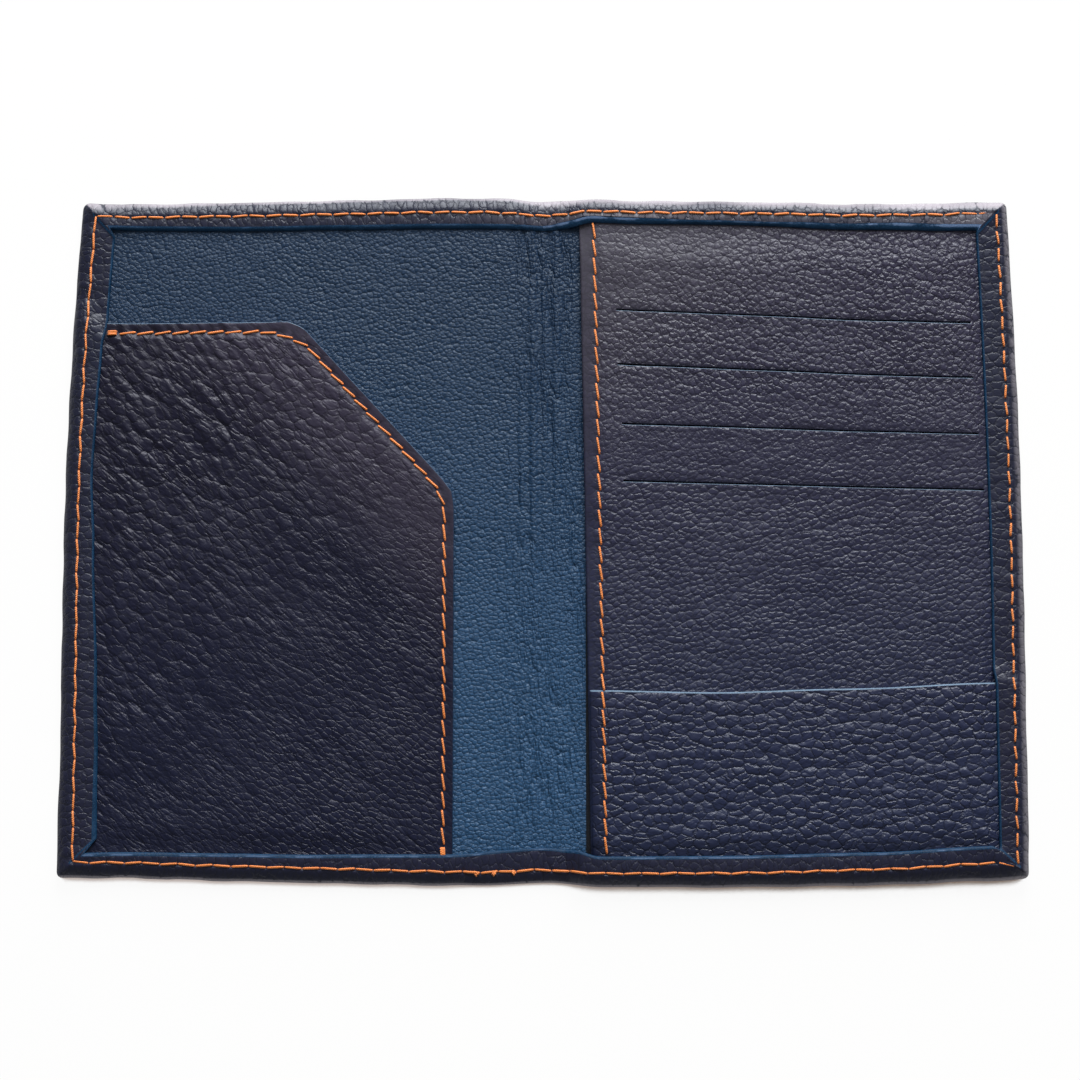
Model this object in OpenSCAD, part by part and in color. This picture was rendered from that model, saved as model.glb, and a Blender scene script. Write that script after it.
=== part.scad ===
// Open passport holder: turned-edge leather cover, blue lining, passport pocket and slit card panel.
// Millimetres, +Z up. The origin is on the rest plane, in the middle of the fold.
// +X runs across both halves to the card panel, +Y runs along the fold to the top edge.

/* [Cover] */
// Width of the cover lying open
cover_w = 232; // [226:1:240]
// Height of the cover from bottom edge to top edge
cover_h = 168; // [162:1:176]
// Thickness of the cover leather
leather_t = 1; // [0.8:0.1:1.2]
// Width of the turned hem from the outer edge to its cut edge
hem_w = 7.2; // [6.4:0.2:8]
// Thickness of the hem, skived for the turn
hem_t = 0.8; // [0.6:0.1:1]
// Length cut off each outer corner
corner_cut = 1.2; // [0.6:0.1:1.3]
// Free room left between the two halves when the holder is folded shut
fold_clearance = 1.2; // [1:0.1:3]

/* [Lining] */
// Thickness of the interlining sheet
interlining_t = 0.3; // [0.2:0.1:0.5]
// Thickness of the lining leather
lining_t = 0.6; // [0.5:0.1:0.8]

/* [Passport pocket] */
// Distance from the left edge of the cover to the free edge of the pocket
pocket_reach = 94.5; // [92:0.5:98]
// Distance from the bottom edge of the cover to the top edge of the pocket
pocket_rise = 137.5; // [132:0.5:142]
// Width of the cut-away corner
corner_w = 39; // [30:1:44]
// Height of the cut-away corner
corner_h = 42; // [32:1:48]
// Radius of the two blunt corners of the cut-away
corner_r = 6; // [3:1:8]
// Room kept behind the pocket for the cover of a passport
pocket_gap = 0.6; // [0.5:0.1:0.9]
// Thickness of the textile behind the pocket
pocket_lining_t = 0.2; // [0.1:0.1:0.3]

/* [Card panel] */
// Thickness of the pocket, card panel and slip pocket leather
panel_t = 1; // [0.8:0.1:1.2]
// Distance from the fold to the turned left edge of the card panel
panel_offset = 10.2; // [9:0.2:12]
// Width of the edge turned under the card panel
turn_under_w = 7; // [6:0.5:7.5]
// Length of a card slit, longer than the 85.6 mm of a bank card
slit_len = 87; // [86.5:0.5:88]
// Width of a card slit
slit_w = 0.5; // [0.3:0.1:0.8]
// Number of card slits
slit_count = 4; // [2:1:4]
// Distance between neighbouring slits
slit_pitch = 13.9; // [12:0.1:15]
// Distance from the top edge of the cover to the first slit
slit_drop = 29.2; // [27:0.2:31]
// Depth of each card pocket below its slit
card_depth = 46; // [44:1:48]
// Thickness of a card pocket liner
liner_t = 0.18; // [0.15:0.01:0.2]
// Thickness of the textile backing
backing_t = 0.3; // [0.2:0.1:0.4]
// Distance from the bottom edge of the cover to the mouth of the slip pocket
slip_rise = 47.3; // [44:0.1:50]

/* [Stitching] */
// Distance from the outer edge to the perimeter seam
seam_inset = 3; // [2.8:0.1:3.4]
// Distance from a free edge of the passport pocket to its seam
pocket_seam_inset = 2.5; // [2:0.1:3.4]
// Distance from the turned edge of the card panel to its seam
card_seam_inset = 3.2; // [2.6:0.1:4]
// Wanted length of one stitch from hole to hole
stitch_pitch = 4.25; // [3.6:0.05:4.6]
// Half thickness of the thread
thread_r = 0.35; // [0.25:0.05:0.4]

/* [Hidden] */
$fn = 32;
tall = 12;
// Distance from the outer edge to the slot end inside a ramp of the turned edge
ramp_slot_x = 1.6;
// Overlap in height that joins a panel to its thinner edge under the hem
lap = 0.2;
// Gaps between a panel and the cut edge of the hem, for the upper and the lower panel
upper_gap = 0.15;
lower_gap = 0.5;
// Width of the thin panel edge that runs on under the panel
edge_lap = 1;
sheet_gap = 0.1;
tack_pitch = 0.8;
tack_count = 3;
liner_margin = 3;

half_w = cover_w / 2;
half_h = cover_h / 2;
z_lining = leather_t + interlining_t;
z_inside = z_lining + lining_t;

// Passport pocket levels
z_pocket_lining = z_inside + pocket_gap;
z_pocket = z_pocket_lining + pocket_lining_t;
z_pocket_top = z_pocket + panel_t;
z_pocket_edge = z_pocket + lap;

// Card panel levels
z_liners = z_inside + backing_t;
z_card = z_liners + slit_count * liner_t;
z_card_edge = z_card + lap;
z_slip = z_card + panel_t;
z_slip_edge = z_slip + lap;

// Heights of the turned edge over the lining, the pocket, the card panel and the slip pocket
hem_plain = z_inside + hem_t;
hem_pocket = z_pocket_edge + hem_t;
hem_card = z_card_edge + hem_t;
hem_slip = z_slip_edge + hem_t;

// Insets that clear the rounded end of the slot inside the turned edge
inset_left = leather_t + (z_pocket_edge - leather_t) / 2 + sheet_gap;
inset_right = leather_t + (z_slip_edge - leather_t) / 2 + sheet_gap;

// Perimeter seam holes: an odd count across, so the two fold lines lie on holes
seam_x = half_w - seam_inset;
seam_y = half_h - seam_inset;
count_half = floor(seam_x / stitch_pitch);
count_y = round(2 * seam_y / stitch_pitch);
fold_x = round(100 * seam_x / (2 * count_half + 1)) / 100;
pitch_x = (seam_x - fold_x) / count_half;
pitch_y = 2 * seam_y / count_y;
fold_z = (hem_slip + z_pocket_top + 2 * thread_r + fold_clearance) / 2 - fold_x;

// Places of the free panel edges
pocket_x = -half_w + pocket_reach;
pocket_y = -half_h + pocket_rise;
slip_y = -half_h + slip_rise;
slit_x = (panel_offset + turn_under_w + half_w - hem_w) / 2;
card_seam_x = panel_offset + card_seam_inset;

// First seam hole at or past a place, counted along a side
function hole_x(x) = fold_x + pitch_x * ceil((x - fold_x) / pitch_x);
function hole_y(y) = -seam_y + pitch_y * ceil((y + seam_y) / pitch_y);

// Height of the turned edge along each side as [place, height], running anticlockwise from the top right
step_top = hole_x(panel_offset - pitch_x);
step_pocket_x = hole_x(pocket_x);
step_pocket_y = hole_y(pocket_y);
step_slip_y = hole_y(slip_y);
top_left_levels = [[-half_w, hem_plain], [-fold_x, hem_plain]];
top_spine_levels = [[-fold_x, hem_plain], [fold_x, hem_plain]];
top_right_levels = [[fold_x, hem_plain], [step_top, hem_card], [half_w, hem_card]];
left_levels = [
    [-half_h, hem_pocket],
    [step_pocket_y, hem_pocket],
    [step_pocket_y + pitch_y, hem_plain],
    [half_h, hem_plain]
];
right_levels = [
    [-half_h, hem_card],
    [-step_slip_y - pitch_y, hem_card],
    [-step_slip_y, hem_slip],
    [half_h, hem_slip]
];
bottom_left_levels = [
    [fold_x, hem_plain],
    [-step_pocket_x - pitch_x, hem_plain],
    [-step_pocket_x, hem_pocket],
    [half_w, hem_pocket]
];
bottom_right_levels = [[-half_w, hem_slip], [-step_top, hem_slip], [-fold_x, hem_plain]];

// Outline of a turned edge of height h: x inward from the outer edge, y upward
module edge_outline(h) {
    translate([h / 2, h / 2]) circle(d = h);
    translate([h / 2, 0]) square([hem_w - h / 2, h]);
}

// Slot between cover and hem in a turned edge of height h
module slot_outline(h) {
    slot = h - leather_t - hem_t;
    translate([leather_t + slot / 2, leather_t + slot / 2]) circle(d = slot);
    translate([leather_t + slot / 2, leather_t]) square([hem_w, slot]);
}

// Extrudes a 2D outline along +Y, from place s over a length
module along_y(s, length) {
    translate([0, s + length, 0]) rotate([90, 0, 0]) linear_extrude(length) children();
}

// Space under the ramp between two [place, height] pairs, above height z0 and lower than the ramp by drop
module wedge(from, to, x0, z0, drop) {
    translate([x0, 0, 0]) rotate([90, 0, 90]) linear_extrude(hem_w) polygon([
        [from[0], z0],
        [to[0], z0],
        [to[0], to[1] - drop],
        [from[0], from[1] - drop]
    ]);
}

// One stretch of turned edge between two [place, height] pairs
module edge_stretch(from, to) {
    length = to[0] - from[0];
    if (from[1] == to[1]) {
        along_y(from[0], length) difference() {
            edge_outline(from[1]);
            slot_outline(from[1]);
        }
    } else {
        difference() {
            intersection() {
                along_y(from[0], length) edge_outline(max(from[1], to[1]));
                wedge(from, to, 0, 0, 0);
            }
            wedge(from, to, ramp_slot_x, leather_t, hem_t);
        }
    }
}

// A whole side of turned edge, mitred where it meets a corner
module turned_side(levels, mitre_start, mitre_end) {
    last = len(levels) - 1;
    first_s = levels[0][0];
    last_s = levels[last][0];
    intersection() {
        union() for (i = [0 : last - 1]) edge_stretch(levels[i], levels[i + 1]);
        linear_extrude(tall) polygon([
            [0, first_s],
            [hem_w, first_s + mitre_start * hem_w],
            [hem_w, last_s - mitre_end * hem_w],
            [0, last_s]
        ]);
    }
}

module top_side(levels, mitre_start, mitre_end) {
    translate([0, half_h, 0]) rotate([0, 0, -90]) turned_side(levels, mitre_start, mitre_end);
}

module bottom_side(levels, mitre_start, mitre_end) {
    translate([0, -half_h, 0]) rotate([0, 0, 90]) turned_side(levels, mitre_start, mitre_end);
}

// A flat rectangle given by its two corners and its height range
module plate(x0, y0, x1, y1, z0, z1) {
    translate([x0, y0, z0]) cube([x1 - x0, y1 - y0, z1 - z0]);
}

// Cuts a small flat across an outer corner in the direction of the signs sx and sy
module corner_block(sx, sy) {
    translate([sx * half_w, sy * half_h, -1]) linear_extrude(tall) polygon([
        [sx, sy],
        [sx, -sy * corner_cut - sy],
        [0, -sy * corner_cut],
        [-sx * corner_cut, 0],
        [-sx * corner_cut - sx, sy]
    ]);
}

module cover_left() {
    color([0.13, 0.13, 0.2]) difference() {
        union() {
            plate(-half_w + hem_w, -half_h + hem_w, -fold_x, half_h - hem_w, 0, leather_t);
            translate([-half_w, 0, 0]) turned_side(left_levels, 1, 1);
            top_side(top_left_levels, 1, 0);
            bottom_side(bottom_left_levels, 0, 1);
        }
        corner_block(-1, 1);
        corner_block(-1, -1);
    }
}

module cover_spine() {
    color([0.13, 0.13, 0.2]) {
        plate(-fold_x, -half_h + hem_w, fold_x, half_h - hem_w, 0, leather_t);
        top_side(top_spine_levels, 0, 0);
        bottom_side(top_spine_levels, 0, 0);
    }
}

module cover_right() {
    color([0.13, 0.13, 0.2]) difference() {
        union() {
            plate(fold_x, -half_h + hem_w, half_w - hem_w, half_h - hem_w, 0, leather_t);
            translate([half_w, 0, 0]) rotate([0, 0, 180]) turned_side(right_levels, 1, 1);
            top_side(top_right_levels, 0, 1);
            bottom_side(bottom_right_levels, 1, 0);
        }
        corner_block(1, 1);
        corner_block(1, -1);
    }
}

// One flat sheet of the cover sandwich from x0 to x1
module sheet(x0, x1, inset, z0, z1) {
    plate(x0, -half_h + inset, x1, half_h - inset, z0, z1);
}

module interlining_left() {
    color([0.75, 0.74, 0.7]) sheet(-half_w + inset_left, -fold_x, inset_left, leather_t, z_lining);
}

module interlining_spine() {
    color([0.75, 0.74, 0.7]) sheet(-fold_x, fold_x, inset_left, leather_t, z_lining);
}

module interlining_right() {
    color([0.75, 0.74, 0.7]) sheet(fold_x, half_w - inset_right, inset_right, leather_t, z_lining);
}

module lining_left() {
    color([0.16, 0.25, 0.38]) sheet(-half_w + inset_left, -fold_x, inset_left, z_lining, z_inside);
}

module lining_spine() {
    color([0.16, 0.25, 0.38]) sheet(-fold_x, fold_x, inset_left, z_lining, z_inside);
}

module lining_right() {
    color([0.16, 0.25, 0.38]) sheet(fold_x, half_w - inset_right, inset_right, z_lining, z_inside);
}

// Points of a blunt corner at p between directions a and b, as a quadratic curve
function blunt(p, a, b) = [
    for (t = [0 : 0.25 : 1])
        p + corner_r * ((1 - t) * (1 - t) * a + t * t * b)
];

// Outline of the pocket panel between the hems and the free edges, moved in by d on the free edges
module pocket_outline(x0, y0, d) {
    slope = [corner_w, -corner_h] / norm([corner_w, corner_h]);
    shift = d * (norm([corner_w, corner_h]) - corner_h) / corner_w;
    drop = d * (norm([corner_w, corner_h]) - corner_w) / corner_h;
    high = [pocket_x - corner_w - shift, pocket_y - d];
    low = [pocket_x - d, pocket_y - corner_h - drop];
    polygon(concat(
        [[x0, y0], [x0, pocket_y - d]],
        blunt(high, [-1, 0], slope),
        blunt(low, -slope, [0, -1]),
        [[pocket_x - d, y0]]
    ));
}

module passport_pocket_lining() {
    rim = hem_w + edge_lap + sheet_gap;
    color([0.1, 0.1, 0.13]) translate([0, 0, z_pocket_lining]) linear_extrude(pocket_lining_t)
        pocket_outline(-half_w + rim, -half_h + rim, edge_lap);
}

module passport_pocket() {
    left = -half_w + inset_left;
    bottom = -half_h + inset_left;
    rim = hem_w + edge_lap;
    color([0.11, 0.11, 0.17]) {
        translate([0, 0, z_pocket]) linear_extrude(panel_t)
            pocket_outline(-half_w + hem_w + lower_gap, -half_h + hem_w + lower_gap, 0);
        plate(left, bottom, -half_w + rim, pocket_y, z_inside, z_pocket_edge);
        plate(left, bottom, pocket_x, -half_h + rim, z_inside, z_pocket_edge);
    }
}

module card_panel_backing() {
    color([0.1, 0.1, 0.13]) plate(
        panel_offset + upper_gap, -half_h + inset_right,
        half_w - inset_right, half_h - inset_right, z_inside, z_liners
    );
}

// Liner of card pocket k, counted from the top slit, which lies deepest
module card_liner(k) {
    y = half_h - slit_drop - k * slit_pitch;
    z = z_liners + k * liner_t;
    x1 = half_w - hem_w - edge_lap - sheet_gap;
    color([0.12, 0.13, 0.18])
        plate(panel_offset + turn_under_w + sheet_gap, y - card_depth, x1, y + liner_margin, z, z + liner_t);
}

module card_pocket_1() {
    card_liner(0);
}

module card_pocket_2() {
    card_liner(1);
}

module card_pocket_3() {
    card_liner(2);
}

module card_pocket_4() {
    card_liner(3);
}

module card_panel() {
    right = half_w - hem_w - lower_gap;
    top = half_h - hem_w - lower_gap;
    rim = hem_w + edge_lap;
    fold = z_slip - z_liners;
    color([0.12, 0.12, 0.18]) difference() {
        union() {
            plate(panel_offset + fold / 2, -top, right, top, z_card, z_slip);
            along_y(-top, 2 * top) {
                translate([panel_offset + fold / 2, z_liners + fold / 2]) circle(d = fold);
                translate([panel_offset + fold / 2, z_liners]) square([turn_under_w - fold / 2, fold]);
            }
            for (y = [half_h - rim, -half_h + inset_right])
                plate(
                    panel_offset + fold / 2, y,
                    half_w - inset_right, y + rim - inset_right, z_liners, z_card_edge
                );
            plate(
                half_w - rim, -half_h + inset_right,
                half_w - inset_right, half_h - inset_right, z_liners, z_card_edge
            );
        }
        for (k = [0 : slit_count - 1])
            translate([slit_x - slit_len / 2, half_h - slit_drop - k * slit_pitch - slit_w / 2, z_card - 1])
                cube([slit_len, slit_w, tall]);
    }
}

module slip_pocket() {
    left = panel_offset + lower_gap;
    rim = hem_w + upper_gap;
    tongue = hem_w + lower_gap - sheet_gap;
    color([0.12, 0.12, 0.18]) {
        plate(left, -half_h + rim, half_w - rim, slip_y, z_slip, z_slip + panel_t);
        plate(
            left, -half_h + inset_right,
            half_w - inset_right, -half_h + tongue, z_card_edge, z_slip_edge
        );
        plate(
            half_w - tongue, -half_h + inset_right,
            half_w - inset_right, slip_y, z_card_edge, z_slip_edge
        );
    }
}

// Half-round thread of a stitch from point p to point q, lying on the surface through both
module stitch(p, q) {
    run = q - p;
    length = norm(run) - thread_r;
    middle = length / 2 - thread_r;
    translate((p + q) / 2)
        rotate([0, -asin(run[2] / norm(run)), atan2(run[1], run[0])])
            rotate([90, 0, 90])
                rotate_extrude(angle = 180) {
                    translate([0, -middle]) square([thread_r, 2 * middle]);
                    for (side = [-1, 1]) translate([0, side * middle]) intersection() {
                        circle(thread_r);
                        translate([0, -thread_r]) square([thread_r, 2 * thread_r]);
                    }
                }
}

// A row of equal stitches from p to q
module stitch_row(p, q, count) {
    for (i = [0 : count - 1]) stitch(p + (q - p) * i / count, p + (q - p) * (i + 1) / count);
}

// Three short stitches over each other's ends, across the direction of a seam
module bar_tack(p, along, across) {
    for (i = [0 : tack_count - 1])
        stitch(p + i * tack_pitch * along - across, p + i * tack_pitch * along + across);
}

module thread_colour() {
    color([0.9, 0.5, 0.2]) children();
}

module passport_pocket_stitching() {
    d = pocket_seam_inset;
    diagonal = norm([corner_w, corner_h]);
    start = [-half_w + hem_w + 2 * edge_lap, pocket_y - d, z_pocket_top];
    high = [pocket_x - corner_w - d * (diagonal - corner_h) / corner_w, pocket_y - d, z_pocket_top];
    low = [pocket_x - d, pocket_y - corner_h - d * (diagonal - corner_w) / corner_h, z_pocket_top];
    end = [pocket_x - d, -half_h + hem_w + 2 * edge_lap + tack_count * tack_pitch, z_pocket_top];
    first = start + [tack_count * tack_pitch, 0, 0];
    thread_colour() {
        stitch_row(first, high, round((high[0] - first[0]) / stitch_pitch));
        stitch_row(high, low, round(norm(low - high) / stitch_pitch));
        stitch_row(low, end, round((low[1] - end[1]) / stitch_pitch));
        bar_tack(start, [1, 0, 0], [0, 1, 0]);
        bar_tack(end - [0, tack_pitch, 0], [0, -1, 0], [1, 0, 0]);
    }
}

module card_panel_stitching() {
    top = half_h - hem_w - lower_gap;
    break = slip_y + thread_r;
    thread_colour() {
        stitch_row(
            [card_seam_x, break, z_slip], [card_seam_x, top, z_slip],
            round((top - break) / stitch_pitch)
        );
        stitch_row(
            [card_seam_x, -top, z_slip + panel_t], [card_seam_x, slip_y, z_slip + panel_t],
            round((top + slip_y) / stitch_pitch)
        );
    }
}

// Seam along a side at x = -seam_inset from the edge, from hole to hole, following the edge height
module seam(levels, s0, pitch, count) {
    function hole(i) = let (s = s0 + i * pitch) [seam_inset, s, seam_height(levels, s)];
    for (i = [0 : count - 1]) stitch(hole(i), hole(i + 1));
}

// Height of a turned edge at place s
function seam_height(levels, s) = lookup(s, levels);

module perimeter_stitching_left() {
    thread_colour() {
        translate([-half_w, 0, 0]) seam(left_levels, -seam_y, pitch_y, count_y);
        translate([0, half_h, 0]) rotate([0, 0, -90]) seam(top_left_levels, -seam_x, pitch_x, count_half);
        translate([0, -half_h, 0]) rotate([0, 0, 90]) seam(bottom_left_levels, fold_x, pitch_x, count_half);
    }
}

module perimeter_stitching_spine() {
    thread_colour() {
        translate([0, half_h, 0]) rotate([0, 0, -90]) seam(top_spine_levels, -fold_x, 2 * fold_x, 1);
        translate([0, -half_h, 0]) rotate([0, 0, 90]) seam(top_spine_levels, -fold_x, 2 * fold_x, 1);
    }
}

module perimeter_stitching_right() {
    thread_colour() {
        translate([half_w, 0, 0]) rotate([0, 0, 180]) seam(right_levels, -seam_y, pitch_y, count_y);
        translate([0, half_h, 0]) rotate([0, 0, -90]) seam(top_right_levels, fold_x, pitch_x, count_half);
        translate([0, -half_h, 0]) rotate([0, 0, 90]) seam(bottom_right_levels, -seam_x, pitch_x, count_half);
    }
}

cover_left();
cover_spine();
cover_right();
interlining_left();
interlining_spine();
interlining_right();
lining_left();
lining_spine();
lining_right();
passport_pocket_lining();
passport_pocket();
passport_pocket_stitching();
card_panel_backing();
card_pocket_1();
card_pocket_2();
card_pocket_3();
card_pocket_4();
card_panel();
slip_pocket();
card_panel_stitching();
perimeter_stitching_left();
perimeter_stitching_spine();
perimeter_stitching_right();
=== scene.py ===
import math

import bmesh
import bpy
import numpy as np
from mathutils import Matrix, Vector


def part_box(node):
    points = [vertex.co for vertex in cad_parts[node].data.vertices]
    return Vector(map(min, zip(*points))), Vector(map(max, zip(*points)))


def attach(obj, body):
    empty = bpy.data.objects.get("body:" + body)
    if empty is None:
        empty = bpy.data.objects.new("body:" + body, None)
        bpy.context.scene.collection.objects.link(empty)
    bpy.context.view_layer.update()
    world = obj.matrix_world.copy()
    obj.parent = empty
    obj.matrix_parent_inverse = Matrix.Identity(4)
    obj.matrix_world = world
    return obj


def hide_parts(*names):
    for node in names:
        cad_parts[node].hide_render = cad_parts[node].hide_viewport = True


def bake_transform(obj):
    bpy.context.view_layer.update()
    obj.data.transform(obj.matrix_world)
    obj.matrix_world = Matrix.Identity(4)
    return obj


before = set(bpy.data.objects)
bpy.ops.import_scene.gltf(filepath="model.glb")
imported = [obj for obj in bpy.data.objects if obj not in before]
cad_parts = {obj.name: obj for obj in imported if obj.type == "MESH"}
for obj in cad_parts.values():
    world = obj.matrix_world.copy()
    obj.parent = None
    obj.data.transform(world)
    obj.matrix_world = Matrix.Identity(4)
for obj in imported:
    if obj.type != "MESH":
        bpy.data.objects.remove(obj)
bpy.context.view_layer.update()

bl_info = {
    "name": "Leather passport holder",
    "version": (1, 0, 0),
    "blender": (4, 5, 0),
    "location": "View3D > Sidebar > Holder",
    "description": "Builds the leather, textile and thread of a folding passport holder on its solid frame",
    "category": "Object",
}

MM = 0.001

# Sizes in millimetres, read from the solids or the same as theirs
HALF_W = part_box("cover_right")[1].x / MM
HALF_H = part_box("cover_right")[1].y / MM
FOLD_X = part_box("cover_spine")[1].x / MM
SEAM_INSET = 3.0
SEAM_X = HALF_W - SEAM_INSET
SEAM_Y = HALF_H - SEAM_INSET
STITCHES_X = 26
STITCHES_Y = 38
PITCH_X = (SEAM_X - FOLD_X) / STITCHES_X
PITCH_Y = 2 * SEAM_Y / STITCHES_Y
INSIDE_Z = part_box("lining_left")[1].z / MM
COVER_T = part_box("interlining_left")[0].z / MM
HEM_T = 0.8
HEM_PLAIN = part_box("cover_spine")[1].z / MM
HEM_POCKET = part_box("cover_left")[1].z / MM
HEM_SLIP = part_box("cover_right")[1].z / MM
SLIP_SOLID_T = 1.0
PANEL_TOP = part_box("slip_pocket")[1].z / MM - SLIP_SOLID_T
PANEL_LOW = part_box("card_panel")[0].z / MM
PANEL_PRESSED = 0.92
HEM_CARD = PANEL_LOW + PANEL_PRESSED + HEM_T
POCKET_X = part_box("passport_pocket")[1].x / MM
POCKET_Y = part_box("passport_pocket")[1].y / MM
PANEL_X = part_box("card_panel")[0].x / MM
SLIP_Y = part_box("slip_pocket")[1].y / MM

# Sizes of the dressed pieces, in millimetres: insets are from the outer edge of the cover
CORNER_R = 1.6
BASE_INSET = 9.0
LINING_INSET = 2.7
LINING_T = 0.55
INTERLINING_INSET = 3.2
INTERLINING_T = 0.22
INTERLINING_TOP = COVER_T + 0.24
POCKET_INSET = 3.2
POCKET_T = 0.88
PANEL_INSET = 3.6
PANEL_T = 0.8
SLIP_T = 0.82
TEXTILE_T = 0.1
TEXTILE_GAP = 0.02
TEXTILE_INSET = 1.2
POCKET_RIM = 0.3
PANEL_RIM = 0.16
SLIP_RIM = 0.4

# Columns and rows of the sheets
LINING_GRID = (128, 160)
INTERLINING_GRID = (48, 32)
POCKET_GRID = (140, 205)
POCKET_TEXTILE_GRID = (50, 70)
SLIP_GRID = (132, 60)
CARD_TEXTILE_GRID = (40, 24)

# Sampling along the edges: steps per stitch, finer next to the fold
STEPS = 6
FINE_STEPS = 12
FINE_STITCHES = 1


# Small helpers for smooth shapes on arrays

def ease(t):
    """Smooth step from 0 to 1."""
    t = np.clip(t, 0.0, 1.0)
    return t * t * (3 - 2 * t)


def bell(t):
    """Bell curve, 1 at 0."""
    return np.exp(-t * t)


def ripple(x, y, length, seed, waves=9, angle=0.0, spread=math.pi):
    """Smooth irregular wave field with crests about one length apart and a spread near 1."""
    rng = np.random.default_rng(seed)
    total = np.zeros(np.broadcast(x, y).shape)
    turns = angle + rng.uniform(-spread, spread, waves)
    phases = rng.uniform(0, 2 * math.pi, waves)
    scales = rng.uniform(0.7, 1.4, waves)
    for turn, phase, scale in zip(turns, phases, scales):
        k = 2 * math.pi * scale / length
        total = total + np.cos(k * (x * math.cos(turn) + y * math.sin(turn)) + phase)
    return total / math.sqrt(waves / 2)


def knots(value, pairs):
    """Smooth curve through a few [place, value] pairs."""
    places = np.array([p for p, _ in pairs], float)
    values = np.array([v for _, v in pairs], float)
    value = np.asarray(value, float)
    i = np.clip(np.searchsorted(places, value) - 1, 0, len(places) - 2)
    t = ease((value - places[i]) / (places[i + 1] - places[i]))
    return values[i] * (1 - t) + values[i + 1] * t


# Outline of the holder as it lies: narrower towards the top, waisted at the fold

TOP_WAVE = [
    (-116, 0.3), (-98, -0.25), (-74, -0.25), (-50, 0.0), (-26, 0.4), (0, 0.3), (10, 0.0),
    (25, -0.4), (58, -0.5), (75, -0.75), (95, -0.3), (108, 0.3), (116, 0.5),
]
BOTTOM_WAVE = [
    (-116, -0.5), (-98, -0.9), (-74, -0.6), (-50, -0.3), (-26, 0.0), (0, 0.0),
    (15, 0.45), (46, 0.6), (80, 0.5), (104, 0.0), (116, -0.2),
]


def half_width(y, side):
    """How far the left or right edge lies from the fold at a height."""
    u = np.clip((y + 10) / (HALF_H + 10), 0, 1)
    left = HALF_W + 0.4 - 3.5 * u**2 + 0.3 * ease((-45 - y) / 35)
    right = HALF_W + 0.6 - 2.6 * u**1.6
    return np.where(side < 0, left, right)


def top_edge(x):
    """How far the top edge lies from the middle."""
    return HALF_H + 0.9 - 1.3 * np.abs(x / HALF_W) ** 2.2 - 0.85 * bell(x / 6.5) + knots(x, TOP_WAVE)


def bottom_edge(x):
    """How far the bottom edge lies from the middle."""
    return HALF_H - 1.3 * np.abs(x / HALF_W) ** 2.4 - 0.75 * bell(x / 8.0) + knots(x, BOTTOM_WAVE)


def laid(x, y, z):
    """Points of the straight pattern, moved to where the used leather lies, at a height."""
    x, y = np.broadcast_arrays(np.asarray(x, float), np.asarray(y, float))
    wide = x * half_width(y, x) / HALF_W
    tall = y * np.where(y > 0, top_edge(x), bottom_edge(x)) / HALF_H
    return np.stack([wide, tall, np.broadcast_to(z, x.shape)], axis=1)


# The turned edge of one half runs from the fold along the top, down the side and back below. The tables
# hold [place, millimetres] pairs for each run of the left (-1) and the right (1) half.

HEM_WIDTH = {
    (-1, "side"): [
        (-84, 9.7), (-60, 9.4), (-40, 8.9), (-2, 7.7), (17, 6.8), (32, 7.2), (50, 7.7), (58, 8.6),
        (84, 8.8),
    ],
    (-1, "top"): [(-116, 6.9), (-70, 7.6), (-15, 7.9), (0, 7.6)],
    (-1, "bottom"): [(-116, 6.2), (-70, 6.7), (-24, 7.4), (-9, 8.4), (0, 8.5)],
    (1, "side"): [(-84, 7.4), (-39, 7.6), (-34, 8.2), (30, 8.4), (84, 8.5)],
    (1, "top"): [(0, 7.6), (6, 7.4), (13, 6.3), (45, 6.3), (80, 7.0), (116, 7.6)],
    (1, "bottom"): [(0, 8.5), (8, 8.3), (14, 7.2), (45, 7.4), (80, 7.8), (116, 8.4)],
}
BEVEL_WIDTH = {
    (-1, "side"): [(-84, 0.95), (-50, 0.6), (-20, 0.32), (84, 0.32)],
    (-1, "top"): [(-116, 0.6), (-105, 0.8), (0, 0.9)],
    (-1, "bottom"): [(-116, 0.8), (-50, 0.7), (0, 0.55)],
    (1, "side"): [(-84, 0.36), (84, 0.36)],
    (1, "top"): [
        (0, 0.9), (8, 1.6), (20, 1.3), (40, 0.8), (55, 0.7), (72, 1.2), (92, 1.5), (116, 1.1),
    ],
    (1, "bottom"): [(0, 0.6), (116, 0.6)],
}
SEAM_LINE = {
    (-1, "side"): [(-84, 4.0), (-40, 3.7), (30, 3.5), (84, 3.5)],
    (-1, "top"): [(-116, 3.8), (-20, 3.9), (0, 4.0)],
    (-1, "bottom"): [(-116, 3.7), (-60, 3.5), (-10, 3.1), (0, 3.0)],
    (1, "side"): [(-84, 3.1), (-20, 3.2), (84, 3.1)],
    (1, "top"): [(0, 4.0), (14, 3.5), (60, 3.5), (116, 3.4)],
    (1, "bottom"): [(0, 3.0), (50, 3.2), (80, 3.6), (116, 4.2)],
}


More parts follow.
